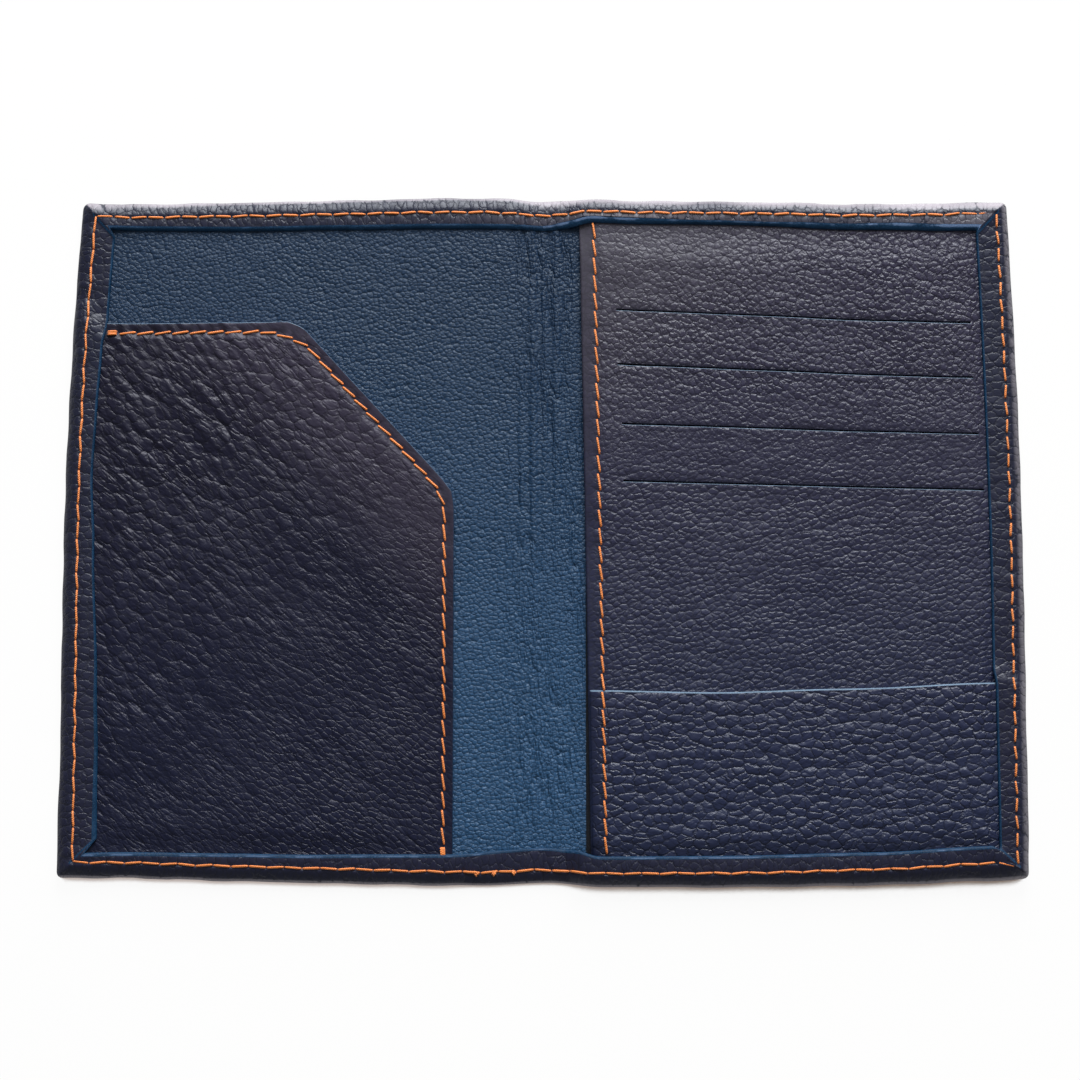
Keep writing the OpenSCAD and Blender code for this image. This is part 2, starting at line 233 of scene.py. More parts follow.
class TurnedEdge:
    """Samples of the turned edge of one half, with its height, hem width and seam line at each."""

    def __init__(self, side):
        self.side = side
        over_fold = np.linspace(0, FOLD_X, FINE_STEPS // 2 + 1)
        fine = FOLD_X + np.arange(1, FINE_STEPS * FINE_STITCHES + 1) * PITCH_X / FINE_STEPS
        coarse = fine[-1] + np.arange(1, STEPS * (STITCHES_X - FINE_STITCHES) + 1) * PITCH_X / STEPS
        self.across = np.concatenate([over_fold, fine, coarse]) / SEAM_X
        self.down = np.linspace(0, 1, STITCHES_Y * STEPS + 1)
        self.nx, self.ny = len(self.across) - 1, len(self.down) - 1
        self.count = 2 * self.nx + self.ny + 1
        self.index = np.arange(self.count)
        self.on_top = self.index < self.nx
        self.on_bottom = self.index > self.nx + self.ny
        self.on_side = ~(self.on_top | self.on_bottom)
        self.part = self.by_run(
            self.down[np.clip(self.index - self.nx, 0, self.ny)],
            self.across[np.minimum(self.index, self.nx)],
            self.across[np.clip(self.count - 1 - self.index, 0, self.nx)],
        )
        self.x, self.y = self.pattern(SEAM_INSET)
        self.height = self.edge_height()
        self.hem = self.from_knots(HEM_WIDTH)
        self.bevel = self.from_knots(BEVEL_WIDTH)
        self.seam = self.from_knots(SEAM_LINE)
        self.hole = self.hole_depth()

    def by_run(self, side, top, bottom):
        """For each sample, the value of the run that it lies on."""
        return np.where(self.on_side, side, np.where(self.on_top, top, bottom))

    def from_knots(self, table):
        """For each sample, the value of a table of knots."""
        side, top, bottom = (table[self.side, run] for run in ("side", "top", "bottom"))
        return self.by_run(knots(self.y, side), knots(self.x, top), knots(self.x, bottom))

    def pattern(self, inset):
        """Straight-pattern place of every sample at an inset from the outer edge."""
        inset = np.broadcast_to(inset, (self.count,))
        wide = HALF_W - inset
        tall = HALF_H - inset
        x = np.where(self.on_side, wide, self.part * wide)
        y = self.by_run(tall * (1 - 2 * self.part), tall, -tall)
        r = np.maximum(CORNER_R - inset, 1e-6)
        before = wide - x
        after = tall - np.abs(y)
        near = (before < r) & (after < r)
        turn = math.pi / 4 * np.where(self.on_side, 1 + after / r, 1 - before / r)
        x = np.where(near, wide - r + r * np.sin(turn), x)
        y = np.where(near, np.sign(y) * (tall - r + r * np.cos(turn)), y)
        return x * self.side, y

    def edge_height(self):
        """Height of the hem, which steps over the layers that it traps."""
        def step(low, high, past, ahead, slope):
            """Rise over a slope that starts a little ahead of the edge of a trapped layer."""
            return low + (high - low) * ease((past + ahead) / slope)

        if self.side < 0:
            side = step(HEM_PLAIN, HEM_POCKET, POCKET_Y - self.y, ahead=6.5, slope=8.0)
            bottom = step(HEM_PLAIN, HEM_POCKET, POCKET_X - self.x, ahead=5.0, slope=5.0)
            return self.by_run(side, HEM_PLAIN, bottom)
        side = step(HEM_CARD, HEM_SLIP, SLIP_Y - self.y, ahead=5.5, slope=7.0)
        top = step(HEM_PLAIN, HEM_CARD, self.x - PANEL_X, ahead=5.5, slope=5.5)
        bottom = step(HEM_PLAIN, HEM_SLIP, self.x - PANEL_X, ahead=5.5, slope=5.5)
        return self.by_run(side, top, bottom)

    def hole_depth(self):
        """1 at a needle hole and 0 half a stitch away."""
        on_side = (self.y + SEAM_Y) / PITCH_Y
        on_run = np.where(self.on_side, on_side, (np.abs(self.x) - FOLD_X) / PITCH_X)
        return bell(np.abs(on_run - np.round(on_run)) / 0.12)

    def holes(self):
        """Indices of the samples that lie on needle holes, in order along the edge."""
        return [i for i in range(self.count) if self.hole[i] > 0.999]

    def highlight_and_wear(self):
        """How much pale colour the rolled edge gets, partly for rubbing and partly as a painted highlight:
        most along the top, more on the right side, which faces the window, than on the left.
        """
        top = 0.95 + 0.2 * ripple(self.x, 0.0 * self.x, 26.0, 15)
        return self.by_run(0.12 if self.side < 0 else 0.4, np.clip(top, 0.6, 1.1), 0.1)

    def highlight_and_wear_spread(self):
        """How far the pale colour of the top roll, rubbing and painted highlight, reaches towards the seam.
        """
        pairs = [(-116, 0.8), (-95, 0.4), (-60, 0.1), (-8, 0.1), (2, 0.6), (60, 0.65), (116, 1.0)]
        return self.by_run(1.0, knots(self.x, pairs), 1.0)

    def hem_highlight_and_wear(self):
        """How much pale colour the flat of the hem gets, as rubbing and a painted highlight: only along the
        top, most right of the fold.
        """
        pairs = [(-116, 0.1), (-40, 0.15), (0, 0.26), (20, 0.36), (60, 0.26), (116, 0.33)]
        return self.by_run(0.0, knots(self.x, pairs), 0.0)

    def cut_highlight_and_wear(self):
        """How much pale colour the cut edge of the hem gets, as rubbing and a painted highlight: along the
        top, most near the fold and the right corner.
        """
        right = [(0, 0.6), (10, 0.85), (38, 0.4), (62, 0.4), (80, 0.85), (116, 0.85)]
        return self.by_run(0.05, 0.3 if self.side < 0 else knots(self.x, right), 0.5)

    def mitre(self):
        """How far one hem lies over the other at a corner, ending sharply at the mitre line."""
        corners = (self.nx, self.nx + self.ny)
        over = (self.index <= corners[0], self.index >= corners[1])
        near = [bell((self.index - corner) / (1.4 * STEPS)) for corner in corners]
        return np.where(over[0], near[0], 0.0) + np.where(over[1], near[1], 0.0)

    def place(self, inset, z):
        """Points of the laid leather at an inset and a height, one per sample."""
        return laid(*self.pattern(inset), z)

    def wrinkle(self, inset):
        """Height of the cross wrinkles on the hem at an inset."""
        x, y = self.pattern(inset)
        run = np.where(self.on_side, y, x)
        depth = np.where(self.on_side, x, y)
        seed = 3 if self.side < 0 else 4
        fold = ripple(run, depth * 0.35, 6.0, seed, spread=0.6)
        upper_left = 0.7 * bell((y - 60) / 22) if self.side < 0 else 0.0
        gather = self.by_run(upper_left, bell(x / 9.0), bell(x / 9.0))
        pucker = ripple(run, depth * 0.2, 2.4, seed + 2, spread=0.35)
        near_fold = self.by_run(0.0, bell((x + 2.5) / 5.0), 0.5 * bell(x / 5.0))
        return fold * (0.035 + 0.07 * gather) + 0.09 * pucker * near_fold


EDGES = {-1: TurnedEdge(-1), 1: TurnedEdge(1)}
SIDE_NAMES = {-1: "left", 1: "right"}


# Mesh building

def grid(bm, nx, ny):
    """Adds a unit grid and gives its vertices with their columns and rows."""
    made = bmesh.ops.create_grid(bm, x_segments=nx, y_segments=ny, size=0.5)["verts"]
    cols = np.array([round((v.co.x + 0.5) * nx) for v in made])
    rows = np.array([round((v.co.y + 0.5) * ny) for v in made])
    return made, cols, rows


def move(verts, points):
    """Moves vertices to points given in millimetres."""
    for vert, point in zip(verts, points):
        vert.co = Vector(point) * MM


def spot(vert):
    """Key of a vertex's place, to find it again after an extrusion."""
    return tuple(round(c, 8) for c in vert.co)


def new_piece(name, bm, materials):
    """Turns a bmesh into an object at the origin, smooth but for the edges of a cut at the fold.
    The place attribute keeps where each point lies when the holder is open, for the patterns."""
    for face in bm.faces:
        face.smooth = True
    for edge in bm.edges:
        edge.smooth = any(abs(v.co.x) > 1e-7 for v in edge.verts)
    mesh = bpy.data.meshes.new(name)
    bm.to_mesh(mesh)
    bm.free()
    place = mesh.attributes.new("place", "FLOAT_VECTOR", "POINT")
    place.data.foreach_set("vector", [c for v in mesh.vertices for c in v.co])
    for material in materials:
        mesh.materials.append(material)
    piece = bpy.data.objects.new(name, mesh)
    bpy.context.scene.collection.objects.link(piece)
    return piece


def riding_piece(name, bm, materials, solid, body):
    """Makes a piece that stands for one solid and moves with a body."""
    piece = new_piece(name, bm, materials)
    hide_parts(solid)
    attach(piece, body)


def folding_piece(name, bm, materials, solid, side):
    """Makes one half of a piece that crosses the fold, and hides the solids that it stands for."""
    half = SIDE_NAMES[side]
    piece = new_piece(f"{name}_{half}", bm, materials)
    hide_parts(f"{solid}_{half}", f"{solid}_spine")
    if side < 0:
        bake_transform(piece)
    else:
        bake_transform(piece)


def clear_of(gap, hem, slope):
    """0 as far as a hem reaches over the gap from the outer edge, rising to 1 over a slope."""
    return ease((gap - hem) / slope)


def below(face, thickness):
    """The same face of a sheet, lower by a thickness."""
    def points(u, v):
        return face(u, v) - np.array([0, 0, thickness])
    return points


def cut_sheet(nx, ny, outer, inner, gaps=None, rim=0):
    """Makes a closed sheet from a grid: outer and inner give the two faces from the unit places u and v.
    The cut walls get material 1, and their outer edge is rounded by rim millimetres."""
    bm = bmesh.new()
    verts, cols, rows = grid(bm, nx, ny)
    u, v = cols / nx, rows / ny
    move(verts, outer(u, v))
    under = {spot(vert): point for vert, point in zip(verts, inner(u, v))}
    if gaps is not None:
        place = {vert: i for i, vert in enumerate(verts)}
        corners = np.array([[place[p] for p in f.verts] for f in bm.faces])
        cut = gaps(u[corners].mean(axis=1), v[corners].mean(axis=1))
        bmesh.ops.delete(bm, geom=[f for f, c in zip(bm.faces[:], cut) if c], context="FACES")
    front = bm.faces[:]
    made = bmesh.ops.extrude_face_region(bm, geom=front, use_keep_orig=True)["geom"]
    back = {g for g in made if isinstance(g, bmesh.types.BMVert)}
    for vert in back:
        vert.co = Vector(under[spot(vert)]) * MM
    walls = [f for f in bm.faces if 0 < sum(p in back for p in f.verts) < len(f.verts)]
    for face in walls:
        face.material_index = 1
    bmesh.ops.recalc_face_normals(bm, faces=bm.faces[:])
    if rim:
        fronts, sides = set(front), set(walls)
        edges = [
            e for e in bm.edges
            if len(e.link_faces) == 2
            and sum(f in sides for f in e.link_faces) == 1
            and sum(f in fronts for f in e.link_faces) == 1
        ]
        rounded = bmesh.ops.bevel(
            bm, geom=edges, offset=rim * MM, offset_type="OFFSET", affect="EDGES",
            segments=2, profile=0.5, material=-1, clamp_overlap=True,
        )["faces"]
        for face in rounded:
            face.material_index = 1
    return bm


def mark_lit_lips(bm):
    """Gives the cut edges that face the top, towards the window, material 2, whose paler colour is a painted
    highlight on the lip of a pocket or slit.
    """
    for face in bm.faces:
        if face.material_index == 1 and face.normal.y > 0.3:
            face.material_index = 2


# Cover

COVER_FACE, CUT_EDGE, HEM, HEM_SIDE = 0, 1, 2, 3
CROWN_SHARE = 0.62
MITRE_RISE = 0.35
BACK_GROOVE = 0.36
LOW_LINE = 0.9


def cover_rings(edge):
    """Rings of the cover leather from the back, round the turned edge and hem, to its inner face:
    inset from the outer edge, height, material and the share of pale colour, which stands for rubbing and a
    painted highlight, and for a pale line along the bottom limb."""
    tall, seam, hem, bevel = edge.height, edge.seam, edge.hem, edge.bevel
    crown = CROWN_SHARE * tall
    base = tall - crown
    pressed = 0.1 + 0.3 * edge.hole
    wobble = 0.1 * (1 + ripple(edge.x, edge.y, 14.0, 11)).clip(0, 2)
    # Shares of pale colour along the roll: rubbing and a painted highlight, most where the roll faces the
    # window
    highlight_wear_mask = edge.highlight_and_wear()
    spread = edge.highlight_and_wear_spread()
    low_line = np.where(edge.on_bottom, LOW_LINE, 0.0)
    lap = MITRE_RISE * edge.mitre()
    rings = [
        (6.0, 0.0, COVER_FACE, 0.0),
        (seam + 0.75, 0.0, COVER_FACE, 0.0),
        (seam + 0.32, BACK_GROOVE, COVER_FACE, 0.0),
        (seam - 0.32, BACK_GROOVE, COVER_FACE, 0.0),
        (seam - 0.75, 0.03, COVER_FACE, 0.0),
    ]
    # Lower quarter of the roll, from the back to the outermost line
    # Second number: share of pale colour for rubbing and a painted highlight; third: a pale line along the
    # bottom limb
    for angle, worn_and_highlighted, line in ((-72, 0.0, 0.0), (-48, 0.0, 0.0), (-24, 0.3, 1.0), (0, 0.5, 1.0)):
        a = math.radians(angle)
        inset = wobble + base * (1 - math.cos(a))
        ring_highlight_wear = np.maximum(worn_and_highlighted * highlight_wear_mask, line * low_line)
        rings.append((inset, base * (1 + math.sin(a)), HEM if line else COVER_FACE, ring_highlight_wear))
    # Upper quarter of the roll, up to the seam
    broad = seam - 0.45
    # Second number: share of pale colour for rubbing and a painted highlight, reaching further towards the
    # seam where spread is high; third: the pale line along the bottom limb
    for angle, worn_and_highlighted, line in (
        (12, 0.7, 1.0), (24, 0.8 + 0.15 * spread, 0.8), (36, 0.25 + 0.75 * spread, 0.1),
        (47, 0.95 * spread**1.5, 0.0), (58, 0.75 * spread**2, 0.0), (69, 0.35 * spread**2, 0.0),
        (80, 0.1 * spread**2, 0.0),
    ):
        a = math.radians(angle)
        inset = wobble + (broad - wobble) * (1 - math.cos(a) ** 1.3)
        rise = math.sin(a) ** 1.3
        z = base + crown * rise + edge.wrinkle(inset) * rise + lap * rise**2
        rings.append((inset, z, HEM, np.maximum(worn_and_highlighted * highlight_wear_mask, line * low_line)))
    # Flat of the hem with the line pressed in by the seam, and pale colour along the top for rubbing and a
    # painted highlight
    for inset, drop in (
        (seam - 0.4, 0.3 * pressed), (seam, pressed), (seam + 0.5, 0.35 * pressed), (seam + 1.1, 0.0),
        ((seam + hem - bevel) / 2 + 0.5, -0.03), (hem - bevel - 0.25, 0.0),
    ):
        rings.append((inset, tall - drop + edge.wrinkle(inset) + lap, HEM, edge.hem_highlight_and_wear()))
    # Sloped cut edge of the hem, its underside and the inner face; the upper rings of the slope get pale
    # colour for rubbing and a painted highlight
    for inset, drop, worn_and_highlighted in (
        (hem - bevel, 0.03, 1.0), (hem - bevel * 0.75, 0.07, 0.8),
        (hem - bevel * 0.5, 0.17, 0.15), (hem - 0.12, 0.42, 0.0),
    ):
        rings.append((inset, tall - drop + edge.wrinkle(hem) + lap, CUT_EDGE, worn_and_highlighted * edge.cut_highlight_and_wear()))
    under = tall - HEM_T
    return rings + [
        (hem, tall - 0.6, CUT_EDGE, 0.0),
        (hem - 0.18, under + 0.02, CUT_EDGE, 0.0),
        (3.4, under + 0.02, COVER_FACE, 0.0),
        (1.9, (under + COVER_T) / 2, COVER_FACE, 0.0),
        (2.6, COVER_T, COVER_FACE, 0.0),
        (BASE_INSET, COVER_T, COVER_FACE, 0.0),
    ]


def build_cover(side, materials):
    """One half of the cover: the back, the rings round its turned edge, and the inner face."""
    edge = EDGES[side]
    bm = bmesh.new()
    # Per-point share of pale colour, which stands for rubbing and a painted highlight
    highlight_wear_mask = bm.verts.layers.float.new("highlight_wear_mask")
    nx, ny = edge.nx, edge.ny
    mitres = (nx, nx + ny - 1)

    def base(cols, rows, z):
        x = edge.across[cols] * (HALF_W - BASE_INSET) * side
        y = (HALF_H - BASE_INSET) * (2 * edge.down[rows] - 1)
        return laid(x, y, z)

    verts, cols, rows = grid(bm, nx, ny)
    points = base(cols, rows, 0.0)
    from_fold = np.abs(points[:, 0])
    bulge = 0.1 * (1 + ripple(points[:, 0], points[:, 1], 45.0, 21)).clip(0, 2)
    points[:, 2] += bulge * ease((HALF_W - BASE_INSET - from_fold) / 8) * ease(from_fold / 12)
    move(verts, points)
    spots = {}
    for vert, c, r in zip(verts, cols, rows):
        if r == ny:
            spots[int(c)] = vert
        elif c == nx:
            spots[nx + ny - int(r)] = vert
        elif r == 0:
            spots[2 * nx + ny - int(c)] = vert
    chain = [spots[i] for i in range(edge.count)]
    for inset, z, material, worn_and_highlighted in cover_rings(edge):
        spot_of = {spot(v): i for i, v in enumerate(chain)}
        edges = [bm.edges.get(pair) for pair in zip(chain[:-1], chain[1:])]
        made = bmesh.ops.extrude_edge_only(bm, edges=edges)["geom"]
        order_of = {g: spot_of[spot(g)] for g in made if isinstance(g, bmesh.types.BMVert)}
        for face in (g for g in made if isinstance(g, bmesh.types.BMFace)):
            first = min(order_of[v] for v in face.verts if v in order_of)
            on_side = material == HEM and nx <= first < nx + ny
            face.material_index = HEM_SIDE if on_side else material
            if on_side and first in mitres and np.max(worn_and_highlighted[edge.on_side]) == 0:
                face.material_index = CUT_EDGE
        chain = sorted(order_of, key=order_of.get)
        move(chain, edge.place(inset, z))
        for vert, value in zip(chain, np.broadcast_to(worn_and_highlighted, (edge.count,))):
            vert[highlight_wear_mask] = value
    verts, cols, rows = grid(bm, nx, ny)
    move(verts, base(cols, rows, COVER_T))
    bmesh.ops.remove_doubles(bm, verts=bm.verts[:], dist=1e-6)
    rim = [e for e in bm.edges if len(e.link_faces) == 1]
    filled = bmesh.ops.edgeloop_fill(bm, edges=rim)["faces"]
    bmesh.ops.triangulate(bm, faces=filled)
    bmesh.ops.recalc_face_normals(bm, faces=bm.faces[:])
    folding_piece("cover_leather", bm, materials, "cover", side)


# Stitches: one short thread with rounded, sunk ends from hole to hole

THREAD_R = 0.27
THREAD_SIDES = 8
THREAD_RINGS = 8
STITCH_SUNK = 0.12
BACK_SEAM_Z = 0.3
TACK_GAP = 0.36
TACK_HALF = 1.25


def add_stitch(bm, uv, start, end, radius=THREAD_R, slant=0.0, rise=0.12, up=1.0, short=0.06, keep=0):
    """Adds one stitch between two points; slant shifts its ends across the seam and short pulls them in,
    in millimetres. keep cuts it at the fold and leaves the half on that side."""
    start, end = np.array(start, float), np.array(end, float)
    length = np.linalg.norm(end - start)
    run = (end - start) / length
    across = np.cross([0, 0, 1.0], run)
    across = across / np.linalg.norm(across)
    half = length / 2 - short
    middle = (start + end) / 2
    made = bmesh.ops.create_uvsphere(
        bm, u_segments=THREAD_SIDES, v_segments=THREAD_RINGS, radius=1.0,
    )["verts"]
    faces = {f for v in made for f in v.link_faces}
    places = {}
    for v in made:
        t = 1 - 2 * math.acos(max(-1.0, min(1.0, v.co.z))) / math.pi
        t = math.copysign(1 - (1 - abs(t)) ** 2, t)
        around = math.atan2(v.co.y, v.co.x)
        ring = math.hypot(v.co.x, v.co.y)
        thick = radius * (1 - 0.35 * abs(t) ** 8) if ring > 1e-4 else 0.0
        sunk = rise - (rise + 0.9 * radius) * abs(t) ** 9
        sideways = slant * t + thick * math.cos(around)
        lift = up * (sunk + thick * 0.92 * math.sin(around))
        places[v] = (t, around / (2 * math.pi))
        v.co = Vector(middle + run * half * t + across * sideways + np.array([0, 0, lift])) * MM
    for face in faces:
        turns = [places[v][1] for v in face.verts]
        for loop in face.loops:
            t, turn = places[loop.vert]
            if max(turns) - min(turns) > 0.5 and turn < 0:
                turn += 1
            loop[uv].uv = (t * half, turn)
    if keep:
        geometry = [*made, *{e for v in made for e in v.link_edges}, *faces]
        cut = bmesh.ops.bisect_plane(
            bm, geom=geometry, plane_co=(0, 0, 0), plane_no=(keep, 0, 0), clear_inner=True,
        )["geom_cut"]
        bmesh.ops.edgeloop_fill(bm, edges=[g for g in cut if isinstance(g, bmesh.types.BMEdge)])


def sew(stitches):
    """Joins the settings of stitches into the mesh of one thread."""
    bm = bmesh.new()
    uv = bm.loops.layers.uv.new("thread")
    for stitch in stitches:
        add_stitch(bm, uv, **stitch)
    bmesh.ops.recalc_face_normals(bm, faces=bm.faces[:])
    return bm


def seam_points(edge):
    """Points of the perimeter seam on the hem and on the back, one per sample."""
    front = edge.place(edge.seam, edge.height - STITCH_SUNK + edge.wrinkle(edge.seam))
    return front, edge.place(edge.seam, BACK_SEAM_Z)


def perimeter_stitches(side):
    """Stitches of one half from hole to hole, inside and on the back."""
    edge = EDGES[side]
    rng = np.random.default_rng(31 if side < 0 else 32)
    front, back = seam_points(edge)
    holes = edge.holes()
    rows = []
    for number, (i, j) in enumerate(zip(holes[:-1], holes[1:])):
        lean = 0.17 if number % 2 else -0.12
        hump = max(0.0, front[(i + j) // 2][2] - (front[i][2] + front[j][2]) / 2)
        if edge.on_side[i]:
            short = 0.42 if side > 0 else 0.0
        else:
            short = 0.15 if edge.on_top[i] else 0.0
        rows.append({
            "start": front[i], "end": front[j], "short": short,
            "slant": lean + rng.uniform(-0.06, 0.06),
            "rise": 0.14 + hump + rng.uniform(-0.03, 0.05),
            "radius": THREAD_R * rng.uniform(0.92, 1.08),
        })
        rows.append({
            "start": back[i], "end": back[j], "slant": 0.15, "rise": 0.0, "radius": 0.3, "up": -1.0,
        })
    if side < 0:
        rows += thread_ends(edge, front)
    return rows


def thread_ends(edge, front):
    """Short frayed ends of thread on the bottom seam, left of the fold."""
    rows = []
    for x, lean in ((-16.0, 0.5), (-11.6, -0.4), (-7.2, 0.2)):
        i = int(np.argmin(np.abs(edge.x - x) + np.where(edge.on_bottom, 0.0, 1e3)))
        for turn in (-0.35, 0.0, 0.4):
            root = front[i] + np.array([0, 0.25, 0.1])
            tip = front[i] + np.array([lean + turn, -0.95 + abs(turn), 0.35])
            rows.append({"start": root, "end": tip, "radius": 0.2, "short": -0.1})
    return rows


def fold_stitches(side):
    """The half of each stitch across the fold that lies on this side: top and bottom, inside and back."""
    ends = {}
    for half, edge in EDGES.items():
        holes = edge.holes()
        ends[half] = [points[hole] for points in seam_points(edge) for hole in (holes[0], holes[-1])]
    inside = {"slant": -0.15, "rise": 0.14, "up": 1.0}
    outside = {"slant": 0.15, "rise": 0.0, "up": -1.0}
    looks = (inside, inside, outside, outside)
    return [
        {"start": start, "end": end, "keep": side, **look}
        for start, end, look in zip(ends[-1], ends[1], looks)
    ]


def build_perimeter_thread(side, material):
    """The perimeter seam of one half."""
    bm = sew(perimeter_stitches(side) + fold_stitches(side))
    folding_piece("perimeter_thread", bm, [material], "perimeter_stitching", side)


def on_panel(spots, top, lift):
    """Points lifted off a panel at places of the straight pattern."""
    x, y = np.array(spots, float).T
    return laid(x, y, top(x, y) + lift)


def surface_stitches(holes, top, seed, slant):
    """Stitch settings for a seam lying on a panel, from its needle holes."""
    rng = np.random.default_rng(seed)
    points = on_panel(holes, top, 0.18)
    return [
        {
            "start": start, "end": end,
            "slant": slant + rng.uniform(-0.05, 0.05),
            "rise": 0.15 + rng.uniform(-0.03, 0.05),
            "radius": THREAD_R * rng.uniform(0.95, 1.1),
        }
        for start, end in zip(points[:-1], points[1:])
    ]


def bar_tack(centre, direction, top):
    """A few stitches side by side that lock the end of a seam."""
    reach = np.array(direction) * TACK_HALF
    across = np.array([-direction[1], direction[0]])
    rows = []
    for shift in (-TACK_GAP, 0.0, TACK_GAP):
        middle = centre + across * shift
        start, end = on_panel([middle - reach, middle + reach], top, 0.2)
        rows.append({"start": start, "end": end, "rise": 0.2, "radius": 0.25, "slant": 0.08})
    return rows


# Lining and interlining

def half_pattern(u, v, side, inset, crowd):
    """Straight-pattern places over one half; crowd draws the columns towards the fold."""
    return side * (HALF_W - inset) * u**crowd, (HALF_H - inset) * (2 * v - 1)


def lining_top(x, y):
    """Height of the lining's upper face over the straight pattern."""
    edge = np.minimum(HALF_W - np.abs(x), HALF_H - np.abs(y))
    inside = clear_of(edge, hem=8.0, slope=6.0)
    puff = 0.1 * inside
    waves = 0.05 * ripple(x, y, 30.0, 41) * inside
    fold = bell((x + 1.5) / 7.5) * (0.25 + 0.75 * ease((y + 30) / 60))
    creases = ripple(x, y * 0.06, 3.4, 42, waves=7, spread=0.25)
    long_creases = ripple(x, y * 0.03, 6.5, 43, waves=5, spread=0.15)
    return INSIDE_Z - 0.02 + puff + waves + fold * (0.17 * creases + 0.08 * long_creases)


def build_lining(side, materials):
    """One half of the lining leather."""
    def outer(u, v):
        x, y = half_pattern(u, v, side, LINING_INSET, crowd=1.25)
        return laid(x, y, lining_top(x, y))

    bm = cut_sheet(*LINING_GRID, outer, below(outer, LINING_T))
    folding_piece("lining_leather", bm, materials, "lining", side)


def build_interlining(side, material):
    """One half of the interlining."""
    def outer(u, v):
        return laid(*half_pattern(u, v, side, INTERLINING_INSET, crowd=1.6), INTERLINING_TOP)

    bm = cut_sheet(*INTERLINING_GRID, outer, below(outer, INTERLINING_T))
    folding_piece("interlining_sheet", bm, [material, material], "interlining", side)


# Passport pocket

CUT_W, CUT_H = 39.0, 42.0
POCKET_SEAM = 2.4
POCKET_PITCH = 4.33
TACK_OUT = 1.6


def pocket_right(y, inset=0.0):
    """Free right edge of the pocket at a height: straight, then slanting in, with blunt corners."""
    slope = CUT_W / CUT_H
    lean = inset * math.hypot(1, slope)
    straight = np.full_like(np.asarray(y, float), POCKET_X - inset)
    slanted = POCKET_X - lean - (y - (POCKET_Y - CUT_H)) * slope
    gap = straight - slanted
    soft = 2.2
    blunt = 2.4
    corner = np.clip((y - (POCKET_Y - inset - blunt)) / blunt, 0, 1)
    return np.minimum(straight, slanted) - soft * 0.25 * bell(gap / soft) - blunt * corner**2


def pocket_path():
    """Needle holes of the pocket's topstitching, from the left hem round to the bottom hem."""
    start = -HALF_W + 11.4
    top = POCKET_Y - POCKET_SEAM
    blunt = 3.2
    ys = np.linspace(top, -HALF_H + 9.6, 600)
    xs = pocket_right(ys, POCKET_SEAM)
    lead = np.linspace(start, xs[0] - blunt, 200)
    drop = int(np.searchsorted(-ys, -(top - blunt * 0.9)))
    px = np.concatenate([lead, xs[drop:]])
    py = np.concatenate([np.full_like(lead, top), ys[drop:]])
    run = np.concatenate([[0], np.cumsum(np.hypot(np.diff(px), np.diff(py)))])
    at = np.linspace(0, run[-1], round(run[-1] / POCKET_PITCH) + 1)
    return np.stack([np.interp(at, run, px), np.interp(at, run, py)], axis=1)


POCKET_HOLES = pocket_path()


def dents(x, y, holes, deep, wide=0.75):
    """Sum of small dents at needle holes."""
    total = np.zeros_like(x)
    for hx, hy in holes:
        near = (np.abs(x - hx) < 3 * wide) & (np.abs(y - hy) < 3 * wide)
        total[near] += deep * bell(np.hypot(x[near] - hx, y[near] - hy) / wide)
    return total


def along_path(x, y, holes, wide):
    """1 on the line through the needle holes and 0 away from it."""
    best = np.full_like(x, 1e9)
    for (ax, ay), (bx, by) in zip(holes[:-1], holes[1:]):
        dx, dy = bx - ax, by - ay
        t = np.clip(((x - ax) * dx + (y - ay) * dy) / (dx * dx + dy * dy), 0, 1)
        best = np.minimum(best, np.hypot(x - ax - t * dx, y - ay - t * dy))
    return bell(best / wide)


def pocket_top(x, y):
    """Height of the pocket over the straight pattern: low under the hem, full inside, with folds."""
    free = np.minimum(pocket_right(y) - x, POCKET_Y - y)
    inside = clear_of(HALF_W - np.abs(x), hem=8.2, slope=6.0) * clear_of(y + HALF_H, hem=7.2, slope=6.0)
    upper_left = ease((x + 40) / -45) * ease((y + 30) / 55)
    slant = ripple(x, y, 6.5, 51, waves=8, angle=math.radians(40), spread=0.28)
    ridges = ripple(x, y, 2.9, 52, waves=9, angle=math.radians(38), spread=0.2)
    broad = ripple(x, y, 26.0, 53, waves=8)
    small = ripple(x, y, 9.0, 54, waves=8, angle=0.6, spread=0.8)
    swell = 0.16 + 0.34 * ease((free - 2) / 20)
    folds = upper_left * (0.05 * slant + 0.055 * ridges) + 0.06 * broad + 0.035 * small
    seam = 0.12 * along_path(x, y, POCKET_HOLES, wide=0.9)
    low = HEM_POCKET - HEM_T - 0.05
    return low + inside * (swell + folds - seam) - dents(x, y, POCKET_HOLES, deep=0.32)


def pocket_pattern(u, v, inset=0.0):
    """Straight-pattern places over the pocket, less an inset at its free edges."""
    low = -HALF_H + POCKET_INSET
    left = -HALF_W + POCKET_INSET
    y = low + (POCKET_Y - inset - low) * v
    return left + (pocket_right(y, inset) - left) * u, y


def build_passport_pocket(materials):
    """The coarse pebbled panel of the passport pocket."""
    def outer(u, v):
        x, y = pocket_pattern(u, v)
        return laid(x, y, pocket_top(x, y))

    bm = cut_sheet(*POCKET_GRID, outer, below(outer, POCKET_T), rim=POCKET_RIM)
    mark_lit_lips(bm)
    riding_piece("passport_pocket_leather", bm, materials, "passport_pocket", "left_half")


